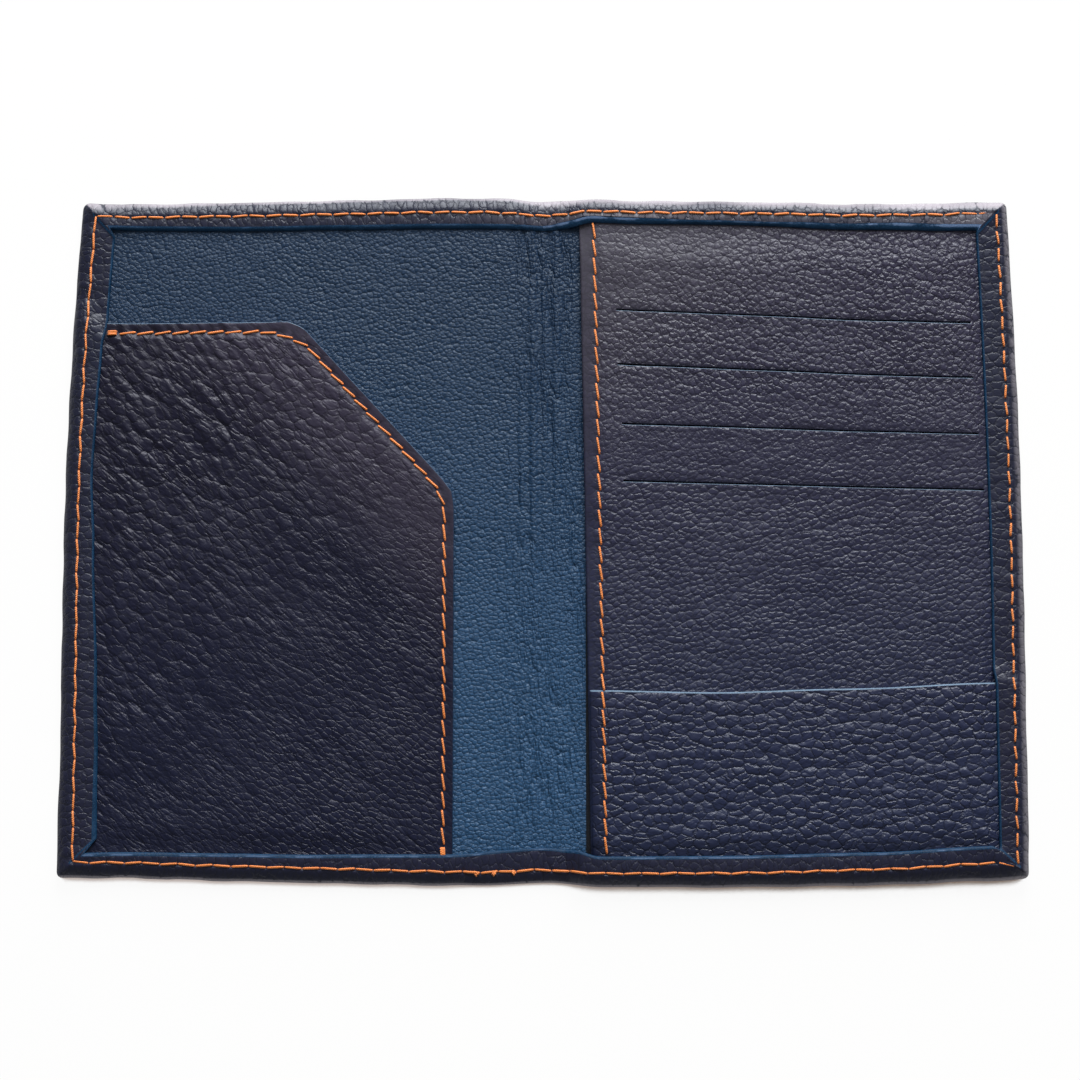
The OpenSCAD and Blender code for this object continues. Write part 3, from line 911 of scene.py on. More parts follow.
def build_passport_textile(materials):
    """The textile behind the passport pocket."""
    def outer(u, v):
        x, y = pocket_pattern(u, v, TEXTILE_INSET)
        return laid(x, y, pocket_top(x, y) - POCKET_T - TEXTILE_GAP)

    bm = cut_sheet(*POCKET_TEXTILE_GRID, outer, below(outer, TEXTILE_T))
    riding_piece(
        "passport_pocket_textile", bm, materials, "passport_pocket_lining", "left_half",
    )


def build_passport_thread(material):
    """The topstitching of the pocket's free edges, locked at both ends."""
    rows = surface_stitches(POCKET_HOLES, pocket_top, seed=61, slant=0.3)
    rows += bar_tack(POCKET_HOLES[0] + np.array([-TACK_OUT, 0]), (1.0, 0.0), pocket_top)
    rows += bar_tack(POCKET_HOLES[-1] + np.array([0, -TACK_OUT]), (0.0, 1.0), pocket_top)
    riding_piece(
        "passport_pocket_thread", sew(rows), [material], "passport_pocket_stitching", "left_half",
    )


# Card panel and slip pocket. Each slit has a height, a slope, and a left and a right end.

PANEL_SEAM = 3.6
PANEL_ROLL = 0.55
PANEL_FLAP = 7.0
FLAP_STEPS, TURN_STEPS, FACE_STEPS = 10, 8, 126
PANEL_RIGHT = HALF_W - PANEL_INSET
PANEL_BOTTOM = -HALF_H + PANEL_INSET
SLITS = [
    (54.8, -0.030, 18.0, 104.9), (41.2, -0.030, 18.5, 105.2),
    (26.9, -0.022, 18.9, 106.1), (13.0, -0.022, 19.5, 107.0),
]
SLIT_W = 0.42
ROW_STEP = 0.8


def panel_left(y):
    """Turned left edge of the card panel, leaning as it was sewn."""
    return PANEL_X - 1.3 * y / HALF_H


def slip_edge(x):
    """Mouth of the slip pocket."""
    return SLIP_Y + knots(x, [(10, -0.2), (42, -0.7), (71, 0.0), (110, 1.0)])


def panel_holes():
    """Needle holes of the card panel's seam, one of them just inside the mouth of the slip pocket."""
    mouth = float(slip_edge(PANEL_X + PANEL_SEAM)) - 0.3
    below_mouth = np.linspace(-HALF_H + 7.6, mouth, 10)
    above_mouth = np.linspace(mouth, HALF_H - 6.0, 27)
    ys = np.concatenate([below_mouth, above_mouth[1:]])
    return np.stack([panel_left(ys) + PANEL_SEAM, ys], axis=1)


PANEL_HOLES = panel_holes()


def sewn_down(x, y, inside, dent, drop):
    """How far a panel sinks along the card seam, at its needle holes and towards the turned left edge."""
    from_left = x - panel_left(y)
    seam = 0.12 * bell((from_left - PANEL_SEAM) / 0.9)
    return (seam + dents(x, y, PANEL_HOLES, dent)) * inside + drop * (1 - ease(from_left / 4.5))


def panel_top(x, y):
    """Height of the card panel, trapped at the top, right and bottom, with a lip at each slit."""
    low = HEM_CARD - HEM_T - 0.04
    inside = clear_of(HALF_W - x, hem=6.9, slope=5.0)
    inside = inside * clear_of(HALF_H - np.abs(y), hem=6.9, slope=np.where(y > 0, 10.0, 5.0))
    z = low + (PANEL_TOP - low) * inside
    z = z + inside * (0.05 * ripple(x, y, 24.0, 71) + 0.03 * ripple(x, y, 8.0, 72))
    for mark, slope, x0, x1 in SLITS:
        away = y - (mark + slope * (x - (x0 + x1) / 2))
        open_part = ease((x - x0) / 6) * ease((x1 - x) / 6)
        z = z + open_part * np.where(away < 0, 0.1 * bell(away / 1.6), -0.12 * bell(away / 1.2))
    return z - sewn_down(x, y, inside, dent=0.3, drop=0.55)


def panel_rows():
    """Rows of the card panel grid: even, with a close pair at each slit, and where those pairs start."""
    marks = [PANEL_BOTTOM] + sorted(s[0] for s in SLITS) + [-PANEL_BOTTOM]
    last = len(marks) - 2
    rows, pairs = [], []
    for k in range(len(marks) - 1):
        a = marks[k] + (SLIT_W / 2 if k else 0)
        b = marks[k + 1] - (SLIT_W / 2 if k < last else 0)
        count = max(2, round((b - a) / ROW_STEP))
        rows += list(np.linspace(a, b, count + 1))
        if k < last:
            pairs.append(len(rows) - 1)
    return np.array(rows), pairs


def build_card_panel(materials):
    """The card panel: a flap under the turned left edge, the turn, and the face with its slits."""
    rows, pairs = panel_rows()
    face_start = FLAP_STEPS + TURN_STEPS
    nx, ny = face_start + FACE_STEPS, len(rows) - 1

    def shape(u, v):
        """Places, heights and thickness of the panel, with the way from its outer to its inner face."""
        c = np.round(u * nx).astype(int)
        y = rows[np.round(v * ny).astype(int)]
        on_face = c >= face_start
        on_flap = c < FLAP_STEPS
        share = np.clip((c - face_start) / FACE_STEPS, 0, 1)
        left = panel_left(y)
        x_face = left + PANEL_ROLL + (PANEL_RIGHT - left - PANEL_ROLL) * share
        for mark, slope, x0, x1 in reversed(SLITS):
            close = bell((y - mark) / 9.0)
            y = y + on_face * close * slope * (np.clip(x_face, x0, x1) - (x0 + x1) / 2)
        z_top = panel_top(np.where(on_face, x_face, left + PANEL_ROLL), y)
        high = z_top - PANEL_LOW
        turn = np.clip((c - FLAP_STEPS) / TURN_STEPS, 0, 1) * math.pi
        x_turn = left + PANEL_ROLL - PANEL_ROLL * np.sin(turn)
        z_turn = PANEL_LOW + high / 2 - high / 2 * np.cos(turn)
        x_flap = left + PANEL_ROLL + (PANEL_FLAP - PANEL_ROLL) * (1 - c / FLAP_STEPS)
        x = np.where(on_face, x_face, np.where(on_flap, x_flap, x_turn))
        z = np.where(on_face, z_top, np.where(on_flap, PANEL_LOW, z_turn))
        doubled = 1 - ease((x - left - PANEL_FLAP) / 3.0)
        thin = np.minimum(PANEL_T, high / 2 - 0.04)
        t = np.where(on_face, thin * doubled + PANEL_T * (1 - doubled), thin)
        x_in = np.where(on_face | on_flap, 0.0, np.sin(turn))
        z_in = np.where(on_face, -1.0, np.where(on_flap, 1.0, np.cos(turn)))
        return x, y, z, x_in * t, z_in * t

    def outer(u, v):
        x, y, z, _, _ = shape(u, v)
        return laid(x, y, z)

    def inner(u, v):
        x, y, z, x_in, z_in = shape(u, v)
        return laid(x + x_in, y, z + z_in)

    def slit(u, v):
        r = v * ny
        share = (u * nx - face_start) / FACE_STEPS
        cut = np.zeros(len(u), bool)
        for pair, (mark, _, x0, x1) in zip(pairs, reversed(SLITS)):
            left = panel_left(mark) + PANEL_ROLL
            x = left + (PANEL_RIGHT - left) * share
            cut |= (r > pair) & (r < pair + 1) & (x > x0) & (x < x1)
        return cut

    bm = cut_sheet(nx, ny, outer, inner, gaps=slit, rim=PANEL_RIM)
    mark_lit_lips(bm)
    riding_piece("card_panel_leather", bm, materials, "card_panel", "right_half")


def slip_top(x, y):
    """Height of the slip pocket, trapped at the right and the bottom."""
    low = HEM_SLIP - HEM_T - 0.04
    high = PANEL_TOP + 0.88
    inside = clear_of(HALF_W - x, hem=6.4, slope=5.0) * clear_of(HALF_H + y, hem=6.8, slope=5.0)
    waves = 0.04 * ripple(x, y, 22.0, 81) + 0.03 * ripple(x, y, 8.0, 82)
    mouth = 0.1 * bell((slip_edge(x) - y) / 1.5)
    return low + inside * (high - low + waves - mouth) - sewn_down(x, y, inside, dent=0.2, drop=0.75)


def build_slip_pocket(materials):
    """The slip pocket over the lower part of the card panel."""
    def outer(u, v):
        left = panel_left(PANEL_BOTTOM + (SLIP_Y - PANEL_BOTTOM) * v) + 0.35
        x = left + (PANEL_RIGHT - left) * u
        y = PANEL_BOTTOM + (slip_edge(x) - PANEL_BOTTOM) * v
        return laid(x, y, slip_top(x, y) - 0.3 * bell((x - left) / 0.6))

    bm = cut_sheet(*SLIP_GRID, outer, below(outer, SLIP_T), rim=SLIP_RIM)
    mark_lit_lips(bm)
    riding_piece("slip_pocket_leather", bm, materials, "slip_pocket", "right_half")


def build_card_thread(material):
    """The seam along the turned edge of the card panel and the slip pocket."""
    def top(x, y):
        return np.where(y < slip_edge(x), slip_top(x, y), panel_top(x, y))

    bm = sew(surface_stitches(PANEL_HOLES, top, seed=91, slant=0.28))
    riding_piece("card_panel_thread", bm, [material], "card_panel_stitching", "right_half")


def build_card_textile(solid, name, materials):
    """A thin textile sheet in the place of a solid liner or backing."""
    low, high = (np.array(c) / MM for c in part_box(solid))
    margin = 0.04

    def outer(u, v):
        x = low[0] + (high[0] - low[0]) * u
        y = low[1] + (high[1] - low[1]) * v
        return np.stack([x, y, high[2] - margin + 0.02 * ripple(x, y, 16.0, 95)], axis=1)

    bm = cut_sheet(*CARD_TEXTILE_GRID, outer, below(outer, high[2] - low[2] - 2 * margin))
    riding_piece(name, bm, materials, solid, "right_half")


# Shader helpers

FLOAT, VECTOR = "NodeSocketFloat", "NodeSocketVector"


def node(tree, kind, inputs=None, **options):
    """Adds a shader node with its options; its inputs are sockets to link or plain values."""
    made = tree.nodes.new(kind)
    for key, value in options.items():
        setattr(made, key, value)
    for key, value in (inputs or {}).items():
        socket = made.inputs[key]
        if isinstance(value, bpy.types.NodeSocket):
            tree.links.new(value, socket)
        elif socket.type == "RGBA":
            socket.default_value = (*value[:3], 1.0)
        else:
            socket.default_value = value
    return made


def math_node(tree, operation, a, b=None, clamp=False):
    """Adds a maths node whose inputs are sockets or numbers."""
    inputs = {0: a} if b is None else {0: a, 1: b}
    return node(tree, "ShaderNodeMath", inputs, operation=operation, use_clamp=clamp).outputs[0]


def vector_node(tree, operation, inputs):
    """Adds a vector maths node and gives its outputs."""
    return node(tree, "ShaderNodeVectorMath", inputs, operation=operation).outputs


def remap(tree, value, low, high, to_low=0.0, to_high=1.0):
    """Smooth step of a value from one range to another."""
    inputs = {"Value": value, "From Min": low, "From Max": high, "To Min": to_low, "To Max": to_high}
    return node(tree, "ShaderNodeMapRange", inputs, interpolation_type="SMOOTHSTEP").outputs["Result"]


def mix_colour(tree, factor, a, b, blend="MIX"):
    """Mixes two colours, each a socket or a plain colour."""
    inputs = {0: factor, 6: a, 7: b}
    return node(tree, "ShaderNodeMix", inputs, data_type="RGBA", blend_type=blend).outputs[2]


def add_up(tree, parts):
    """Sum of weighted values, given as pairs of sockets or numbers."""
    total = None
    for value, weight in parts:
        part = math_node(tree, "MULTIPLY", value, weight)
        total = part if total is None else math_node(tree, "ADD", total, part)
    return total


def noise(tree, vector, scale, detail=1.0, roughness=0.55, factor=None):
    """Noise texture; its scale is a number, or a socket times a factor."""
    if factor is not None:
        scale = math_node(tree, "MULTIPLY", scale, factor)
    inputs = {"Vector": vector, "Scale": scale, "Detail": detail, "Roughness": roughness}
    return node(tree, "ShaderNodeTexNoise", inputs).outputs


def stretched(tree, place, turn, stretch):
    """Pattern places turned and then stretched, for grain that runs one way."""
    turned = node(tree, "ShaderNodeMapping", {"Vector": place, "Rotation": (0, 0, turn)})
    return node(tree, "ShaderNodeMapping", {"Vector": turned.outputs[0], "Scale": (*stretch, 1)}).outputs[0]


def along(tree, place, direction, low, high, to_low, to_high):
    """Value that changes along a direction, between two places in millimetres."""
    way = vector_node(tree, "DOT_PRODUCT", {0: place, 1: direction})["Value"]
    return remap(tree, way, low * MM, high * MM, to_low, to_high)


# Shader groups that several materials share

def new_group(name, inputs, outputs):
    """Makes an empty shader node group with named sockets."""
    tree = bpy.data.node_groups.new(name, "ShaderNodeTree")
    tree.interface.new_socket("Vector", in_out="INPUT", socket_type=VECTOR)
    for label, default in inputs.items():
        tree.interface.new_socket(label, in_out="INPUT", socket_type=FLOAT).default_value = default
    for label in outputs:
        tree.interface.new_socket(label, in_out="OUTPUT", socket_type=FLOAT)
    start = tree.nodes.new("NodeGroupInput")
    end = tree.nodes.new("NodeGroupOutput")
    return tree, start.outputs, end.inputs


def pebble_group(name):
    """Pebbled leather: cells with narrow, broken grooves between them, domed as far as Dome says."""
    tree, given, out = new_group(
        name,
        {"Scale": 700.0, "Warp": 0.0006, "Groove": 0.12, "Edge": 0.4, "Dome": 0.5, "Fine": 0.1},
        ("Height", "Crease", "Cell"),
    )
    vector, scale = given["Vector"], given["Scale"]
    swirl = noise(tree, vector, scale, detail=2.0, factor=1.2)["Color"]
    centred = vector_node(tree, "SUBTRACT", {0: swirl, 1: (0.5, 0.5, 0.5)})[0]
    moved = vector_node(tree, "SCALE", {0: centred, "Scale": given["Warp"]})[0]
    place = vector_node(tree, "ADD", {0: vector, 1: moved})[0]

    def cells(feature, output, **more):
        inputs = {"Vector": place, "Scale": scale, "Randomness": 1.0, **more}
        made = node(tree, "ShaderNodeTexVoronoi", inputs, feature=feature, voronoi_dimensions="2D")
        return made.outputs[output]

    grey = node(tree, "ShaderNodeRGBToBW", {0: cells("F1", "Color")}).outputs[0]
    flat = remap(tree, cells("DISTANCE_TO_EDGE", "Distance"), 0.0, given["Groove"])
    uneven = noise(tree, vector, scale, detail=2.0, factor=0.33)["Fac"]
    broken = remap(tree, uneven, 0.3, 0.65, 0.25, 1.0)
    micro = noise(tree, vector, scale, detail=2.0, roughness=0.6, factor=4.5)["Fac"]
    distance = cells("SMOOTH_F1", "Distance", Smoothness=0.3)
    dome = math_node(tree, "SUBTRACT", 1.0, math_node(tree, "MULTIPLY", distance, distance))
    height = add_up(tree, [
        (math_node(tree, "MULTIPLY", flat, broken), given["Edge"]),
        (dome, given["Dome"]),
        (micro, given["Fine"]),
        (math_node(tree, "MULTIPLY", grey, flat), 0.12),
        (uneven, 0.6),
    ])
    tree.links.new(height, out["Height"])
    tree.links.new(math_node(tree, "SUBTRACT", 1.0, flat), out["Crease"])
    tree.links.new(grey, out["Cell"])
    return tree


def crease_group(name):
    """Long wavy creases in two sizes, broken along their length."""
    tree, given, out = new_group(name, {"Scale": 500.0, "Width": 0.12}, ("Height",))
    vector, scale = given["Vector"], given["Scale"]
    parts = []
    for factor, weight in ((0.5, 1.0), (0.95, 0.55)):
        wave = noise(tree, vector, scale, detail=2.0, factor=factor)["Fac"]
        away = math_node(tree, "ABSOLUTE", math_node(tree, "SUBTRACT", wave, 0.5))
        far = math_node(tree, "DIVIDE", away, given["Width"])
        near = math_node(tree, "SUBTRACT", 1.0, far, clamp=True)
        gate = remap(tree, noise(tree, vector, scale, factor=factor * 0.4)["Fac"], 0.35, 0.6)
        line = math_node(tree, "MULTIPLY", math_node(tree, "MULTIPLY", near, near), gate)
        parts.append((line, -weight))
    parts.append((noise(tree, vector, scale, detail=2.0, factor=0.7)["Fac"], 1.1))
    tree.links.new(add_up(tree, parts), out["Height"])
    return tree


def wear_group(name):
    """Soft uneven patches, as leather gets from handling."""
    tree, given, out = new_group(name, {"Scale": 40.0}, ("Patch",))
    patch = noise(tree, given["Vector"], given["Scale"], detail=4.0)["Fac"]
    tree.links.new(remap(tree, patch, 0.3, 0.7), out["Patch"])
    return tree


def weave_group(name):
    """Plain weave: two crossing sets of yarns."""
    tree, given, out = new_group(name, {"Scale": 900.0}, ("Height", "Shade"))
    inputs = {"Vector": given["Vector"], "Scale": given["Scale"], "Distortion": 0.4, "Detail": 1.0}
    across, down = (
        node(tree, "ShaderNodeTexWave", inputs, bands_direction=direction).outputs["Fac"]
        for direction in ("X", "Y")
    )
    height = math_node(tree, "MULTIPLY", across, down)
    uneven = noise(tree, given["Vector"], 120.0, detail=3.0, roughness=0.5)["Fac"]
    tree.links.new(height, out["Height"])
    tree.links.new(math_node(tree, "MULTIPLY", uneven, height), out["Shade"])
    return tree


GROUP_MAKERS = {
    "pebbled_grain": pebble_group,
    "wavy_creases": crease_group,
    "handling_wear": wear_group,
    "plain_weave": weave_group,
}


def group_node(tree, name, vector, **values):
    """Places a shared group in a material; the group is made on first use."""
    group = bpy.data.node_groups.get(name) or GROUP_MAKERS[name](name)
    return node(tree, "ShaderNodeGroup", {"Vector": vector, **values}, node_tree=group).outputs


# Materials

WEAR_SCALE = 32.0
EDGE_WEAR_SCALE = 160.0
CREASE_WIDTH = 0.1
COLOUR_LOW, COLOUR_HIGH = -80, 75


def new_material(name, roughness, specular):
    """Makes a material and gives its tree, its shader and the place that its pattern is read from."""
    material = bpy.data.materials.new(name)
    material.use_nodes = True
    tree = material.node_tree
    shader = tree.nodes["Principled BSDF"]
    shader.inputs["Roughness"].default_value = roughness
    shader.inputs["Specular IOR Level"].default_value = specular
    place = node(tree, "ShaderNodeAttribute", attribute_name="place", attribute_type="GEOMETRY")
    return material, tree, shader, place.outputs["Vector"]


def bump(tree, shader, height, depth):
    """Raises the surface by a height, at a depth in millimetres."""
    made = node(tree, "ShaderNodeBump", {"Strength": 1.0, "Distance": depth * MM, "Height": height})
    tree.links.new(made.outputs[0], shader.inputs["Normal"])


def highlight_and_wear_share(tree, height):
    """How far the painted highlight and rubbing of an edge show: they stay on the high places of the grain.
    """
    worn_and_highlighted = node(tree, "ShaderNodeAttribute", attribute_name="highlight_wear_mask", attribute_type="GEOMETRY").outputs["Fac"]
    uneven = math_node(tree, "ADD", worn_and_highlighted, remap(tree, height, 0.2, 1.2, -0.5, 0.25))
    return math_node(tree, "MULTIPLY", remap(tree, uneven, 0.35, 0.75), worn_and_highlighted)


def leather_material(name, colours, cell, depth, turn=0.0, stretch=(1, 1), groove=0.16, edge=0.4,
                     dome=0.5, fine=0.06, roughness=0.4, specular=0.45, gloss=(0.92, 0.96, 1.0),
                     pale=1.4, groove_shade=0.8, coarse=None, coarse_dome=None, calm=(), creases=(),
                     highlight_and_wear=None, painted_sheen=None):
    """Pebbled leather with a colour at the top and one at the bottom; cell is the pebble size and depth
    the bump, in millimetres. coarse mixes in larger cells along a direction, each calm strip flattens
    the grain along one, creases add long folds, along a direction or everywhere. The pale edge colour
    stands for rubbing and a painted highlight along an edge, the paler colour along a direction is a
    painted sheen, and the grooves between pebbles are darkened by a factor as painted shade."""
    material, tree, shader, place = new_material(name, roughness, specular)
    shader.inputs["Specular Tint"].default_value = (*gloss, 1.0)
    shape = {"Groove": groove, "Edge": edge, "Dome": dome, "Fine": fine}
    grain = group_node(
        tree, "pebbled_grain", stretched(tree, place, turn, stretch),
        Scale=1 / (cell * MM), Warp=0.9 * cell * MM, **shape,
    )
    height, lines, tint = grain["Height"], grain["Crease"], grain["Cell"]
    if coarse is not None:
        size, turn_to, stretch_to, gain, where = coarse
        shape["Dome"] = coarse_dome or dome
        big = group_node(
            tree, "pebbled_grain", stretched(tree, place, turn_to, stretch_to),
            Scale=1 / (size * MM), Warp=1.2 * size * MM, **shape,
        )
        share = along(tree, place, *where, 0.0, 1.0)
        rest = math_node(tree, "SUBTRACT", 1.0, share)
        height = add_up(tree, [(height, rest), (math_node(tree, "MULTIPLY", big["Height"], share), gain)])
        lines = add_up(tree, [(lines, rest), (big["Crease"], share)])
    for size, turn_to, stretch_to, gain, where in creases:
        folds = group_node(
            tree, "wavy_creases", stretched(tree, place, turn_to, stretch_to),
            Scale=1 / (size * MM), Width=CREASE_WIDTH,
        )
        share = gain if where is None else along(tree, place, *where, 0.0, gain)
        height = add_up(tree, [(height, 1.0), (folds["Height"], share)])
    for strip in calm:
        height = math_node(tree, "MULTIPLY", height, along(tree, place, *strip))
    patch = group_node(tree, "handling_wear", place, Scale=WEAR_SCALE)["Patch"]
    low_share = along(tree, place, (0, 1, 0), COLOUR_LOW, COLOUR_HIGH, 1.0, 0.0)
    base = mix_colour(tree, low_share, *colours)
    # Paler colour along a direction: painted sheen where the window lights the leather more
    if painted_sheen is not None:
        base = mix_colour(tree, along(tree, place, *painted_sheen[1:], 0.0, 1.0), base, painted_sheen[0])
    light = mix_colour(tree, 1.0, base, (pale, pale, pale), blend="MULTIPLY")
    # Darker colour for the grooves between pebbles: painted shade
    dark = mix_colour(tree, 1.0, base, (groove_shade, groove_shade, groove_shade), blend="MULTIPLY")
    base = mix_colour(tree, math_node(tree, "MULTIPLY", tint, 0.5), base, light)
    base = mix_colour(tree, math_node(tree, "MULTIPLY", patch, 0.3), base, light)
    base = mix_colour(tree, lines, base, dark)
    # Pale colour along an edge: rubbing and a painted highlight
    if highlight_and_wear is not None:
        base = mix_colour(tree, highlight_and_wear_share(tree, height), base, highlight_and_wear)
    tree.links.new(base, shader.inputs["Base Color"])
    rough = add_up(tree, [(patch, 0.1), (lines, 0.08)])
    tree.links.new(math_node(tree, "ADD", rough, roughness - 0.05), shader.inputs["Roughness"])
    bump(tree, shader, height, depth)
    return material


def edge_material(name, colour, highlight_and_wear):
    """Cut, dyed leather edge with short fibres, paler where its mask paints rubbing and a highlight."""
    material, tree, shader, place = new_material(name, 0.45, 0.2)
    patch = group_node(tree, "handling_wear", place, Scale=EDGE_WEAR_SCALE)["Patch"]
    fibre = noise(tree, place, 2600.0, detail=4.0, roughness=0.7)["Fac"]
    pale = tuple(min(1.0, c * 2.1 + 0.01) for c in colour)
    base = mix_colour(tree, remap(tree, fibre, 0.45, 0.75), colour, pale)
    base = mix_colour(tree, math_node(tree, "MULTIPLY", patch, 0.4), base, pale)
    # Pale upper part of a cut edge: rubbing and a painted highlight
    base = mix_colour(tree, highlight_and_wear_share(tree, math_node(tree, "ADD", patch, 0.3)), base, highlight_and_wear)
    tree.links.new(base, shader.inputs["Base Color"])
    tree.links.new(remap(tree, fibre, 0.3, 0.7, 0.45, 0.65), shader.inputs["Roughness"])
    bump(tree, shader, fibre, 0.12)
    return material


def textile_material(name, colour, yarn):
    """Plain woven textile; yarn is its pitch in millimetres."""
    material, tree, shader, place = new_material(name, 0.85, 0.3)
    weave = group_node(tree, "plain_weave", place, Scale=1 / (yarn * MM))
    pale = tuple(min(1.0, c * 1.8) for c in colour)
    tree.links.new(mix_colour(tree, weave["Shade"], colour, pale), shader.inputs["Base Color"])
    bump(tree, shader, weave["Height"], 0.08)
    return material


def thread_material(name, colour):
    """Twisted sewing thread of two plies, read from the stitches' own UV map; the bands between the plies
    are painted darker, as shade.
    """
    material, tree, shader, _ = new_material(name, 0.4, 0.5)
    shader.inputs["Sheen Weight"].default_value = 0.25
    uv = node(tree, "ShaderNodeUVMap", uv_map="thread")
    split = node(tree, "ShaderNodeSeparateXYZ", {0: uv.outputs[0]}).outputs
    twist = math_node(tree, "ADD", math_node(tree, "MULTIPLY", split[0], 1.1), split[1])
    ply = math_node(tree, "SINE", math_node(tree, "MULTIPLY", twist, 2 * math.pi * 2))
    ply = math_node(tree, "ADD", math_node(tree, "MULTIPLY", ply, 0.5), 0.5)
    # Darker colour between the plies: painted shade
    dark = (colour[0] * 0.7, colour[1] * 0.45, colour[2] * 0.4)
    base = mix_colour(tree, remap(tree, ply, 0.05, 0.6), dark, colour)
    tree.links.new(base, shader.inputs["Base Color"])
    bump(tree, shader, ply, 0.06)
    return material


def felt_material(name, colour):
    """Pressed fibre sheet."""
    material, tree, shader, place = new_material(name, 0.9, 0.2)
    fibre = noise(tree, place, 1500.0, detail=5.0, roughness=0.75)["Fac"]
    dark = tuple(c * 0.8 for c in colour)
    tree.links.new(mix_colour(tree, fibre, dark, colour), shader.inputs["Base Color"])
    bump(tree, shader, fibre, 0.06)
    return material


def leather_settings(s):
    """Settings of each leather, by its finish. Directions come with the places where a change starts
    and ends, in millimetres."""
    slant = Vector((CUT_H, CUT_W, 0)).normalized()
    slant_edge = slant.x * POCKET_X + slant.y * (POCKET_Y - CUT_H)
    pocket_edges = (((0, 1, 0), POCKET_Y), ((1, 0, 0), POCKET_X), (slant, slant_edge))
    beside_seam = ((1, 0, 0), 10.5, 15.0, 0.15, 1.0)
    # The pale colour along the hem's edge stands for rubbing and a painted highlight
    hem = {
        "colours": (s.cover_colour, s.cover_low_colour), "cell": 1.4 * s.cover_grain / MM, "depth": 0.17,
        "dome": 0.9, "edge": 0.3, "fine": 0.1, "roughness": 0.42, "highlight_and_wear": s.highlight_and_wear_colour,
    }
    return {
        "cover": {
            "colours": (s.cover_colour, s.cover_colour), "cell": 1.6 * s.cover_grain / MM, "depth": 0.22,
            "turn": 0.3, "stretch": (0.8, 1.0), "dome": 1.2, "edge": 0.35,
        },
        "hem": {**hem, "stretch": (1.0, 0.55)},
        "hem_side": {**hem, "stretch": (0.6, 0.8)},
        "pocket": {
            "colours": (s.pocket_colour, s.pocket_low_colour), "cell": s.pocket_grain / MM, "depth": 0.2,
            "turn": 0.6, "stretch": (0.6, 1.0), "groove": 0.17, "edge": 0.3, "dome": 0.9,
            "roughness": 0.43, "specular": 0.33, "gloss": (0.92, 0.93, 1.0),
            "coarse": (2.4, 0.7, (0.72, 1.0), 0.8, ((-0.75, 0.66, 0), -10, 70)), "coarse_dome": 2.2,
            "creases": [(2.2, 0.75, (0.3, 1.0), 0.65, None)],
            # Paler towards the slanted edge: painted sheen
            "painted_sheen": (s.pocket_sheen_colour, slant, slant_edge - 34, slant_edge - 4),
            "calm": [(direction, edge - 4.2, edge - 2.0, 1.0, 0.35) for direction, edge in pocket_edges],
        },
        "panel": {
            # The lighter top colour is partly the leather's tone, partly painted sheen
            "colours": (s.panel_top_colour_and_sheen, s.panel_low_colour), "cell": s.panel_grain / MM, "depth": 0.2,
            "turn": -0.35, "stretch": (0.75, 1.0), "groove": 0.28, "edge": 0.3, "dome": 1.0,
            "coarse": (1.45, 0.3, (1.0, 1.0), 1.3, ((0, 1, 0), 5, 45)),
            # Paler at the upper left: painted sheen
            "painted_sheen": (s.panel_sheen_colour, (-0.6, 0.8, 0), 0, 55),
            "calm": [beside_seam, ((0.6, -0.8, 0), -55, -10, 0.4, 1.0)],
        },
        "slip": {
            "colours": (s.panel_top_colour_and_sheen, s.panel_low_colour), "cell": 2.0, "depth": 0.24,
            "turn": -0.1, "stretch": (0.75, 1.0), "groove": 0.15, "edge": 0.55, "dome": 1.5,
            "creases": [(2.8, 0.45, (0.3, 1.0), 0.3, None), (2.8, -0.5, (0.3, 1.0), 0.3, None)],
            "calm": [beside_seam],
        },
        "lining": {
            "colours": (s.lining_colour, s.lining_low_colour), "cell": s.lining_grain / MM, "depth": 0.16,
            "turn": -0.2, "stretch": (0.85, 1.0), "groove": 0.2, "edge": 0.22, "dome": 1.5, "fine": 0.1,
            # Grooves painted darker than elsewhere, as shade
            "roughness": 0.5, "specular": 0.4, "gloss": (0.85, 0.95, 1.0), "groove_shade": 0.75,
            "creases": [
                (1.8, 1.5, (0.25, 1.0), 1.7, ((1, 0, 0), -16, -2)),
                (2.4, -0.6, (0.35, 1.0), 0.5, ((0, -1, 0), 20, 75)),
                (3.2, 0.5, (0.4, 1.0), 0.35, None),
            ],
        },
    }


def finish_of(key):
    """The material of a finish, made on first use."""
    name = "holder_" + key
    if name in bpy.data.materials:
        return bpy.data.materials[name]
    s = bpy.context.scene.passport_holder
    if key == "edge":
        return edge_material(name, s.edge_colour, s.edge_highlight_and_wear_colour)
    # Paler cut edges that face the window: painted highlight
    if key == "lit_lip_edge":
        return edge_material(name, s.lit_lip_colour, s.edge_highlight_and_wear_colour)
    if key == "textile":
        return textile_material(name, s.textile_colour, yarn=0.5)
    if key == "thread":
        return thread_material(name, s.thread_colour)
    if key == "interlining":
        return felt_material(name, s.interlining_colour)
    return leather_material(name, **leather_settings(s)[key])


def finishes(*keys):
    """The materials of several finishes, in order."""
    return [finish_of(key) for key in keys]


# Add-on classes

def colour_property(label, words, red, green, blue):
    """A colour given as it shows on screen, from 0 to 255."""
    def to_linear(c):
        c = c / 255
        return c / 12.92 if c <= 0.04045 else ((c + 0.055) / 1.055) ** 2.4
    return bpy.props.FloatVectorProperty(
        name=label, description="Colour of " + words, subtype="COLOR", size=3, min=0, max=1,
        default=tuple(to_linear(c) for c in (red, green, blue)),
    )


def grain_property(label, words, size):
    """A pebble size, given in millimetres."""
    return bpy.props.FloatProperty(
        name=label, description="Pebble size of " + words, default=size * MM, min=0.2 * MM, unit="LENGTH",
    )


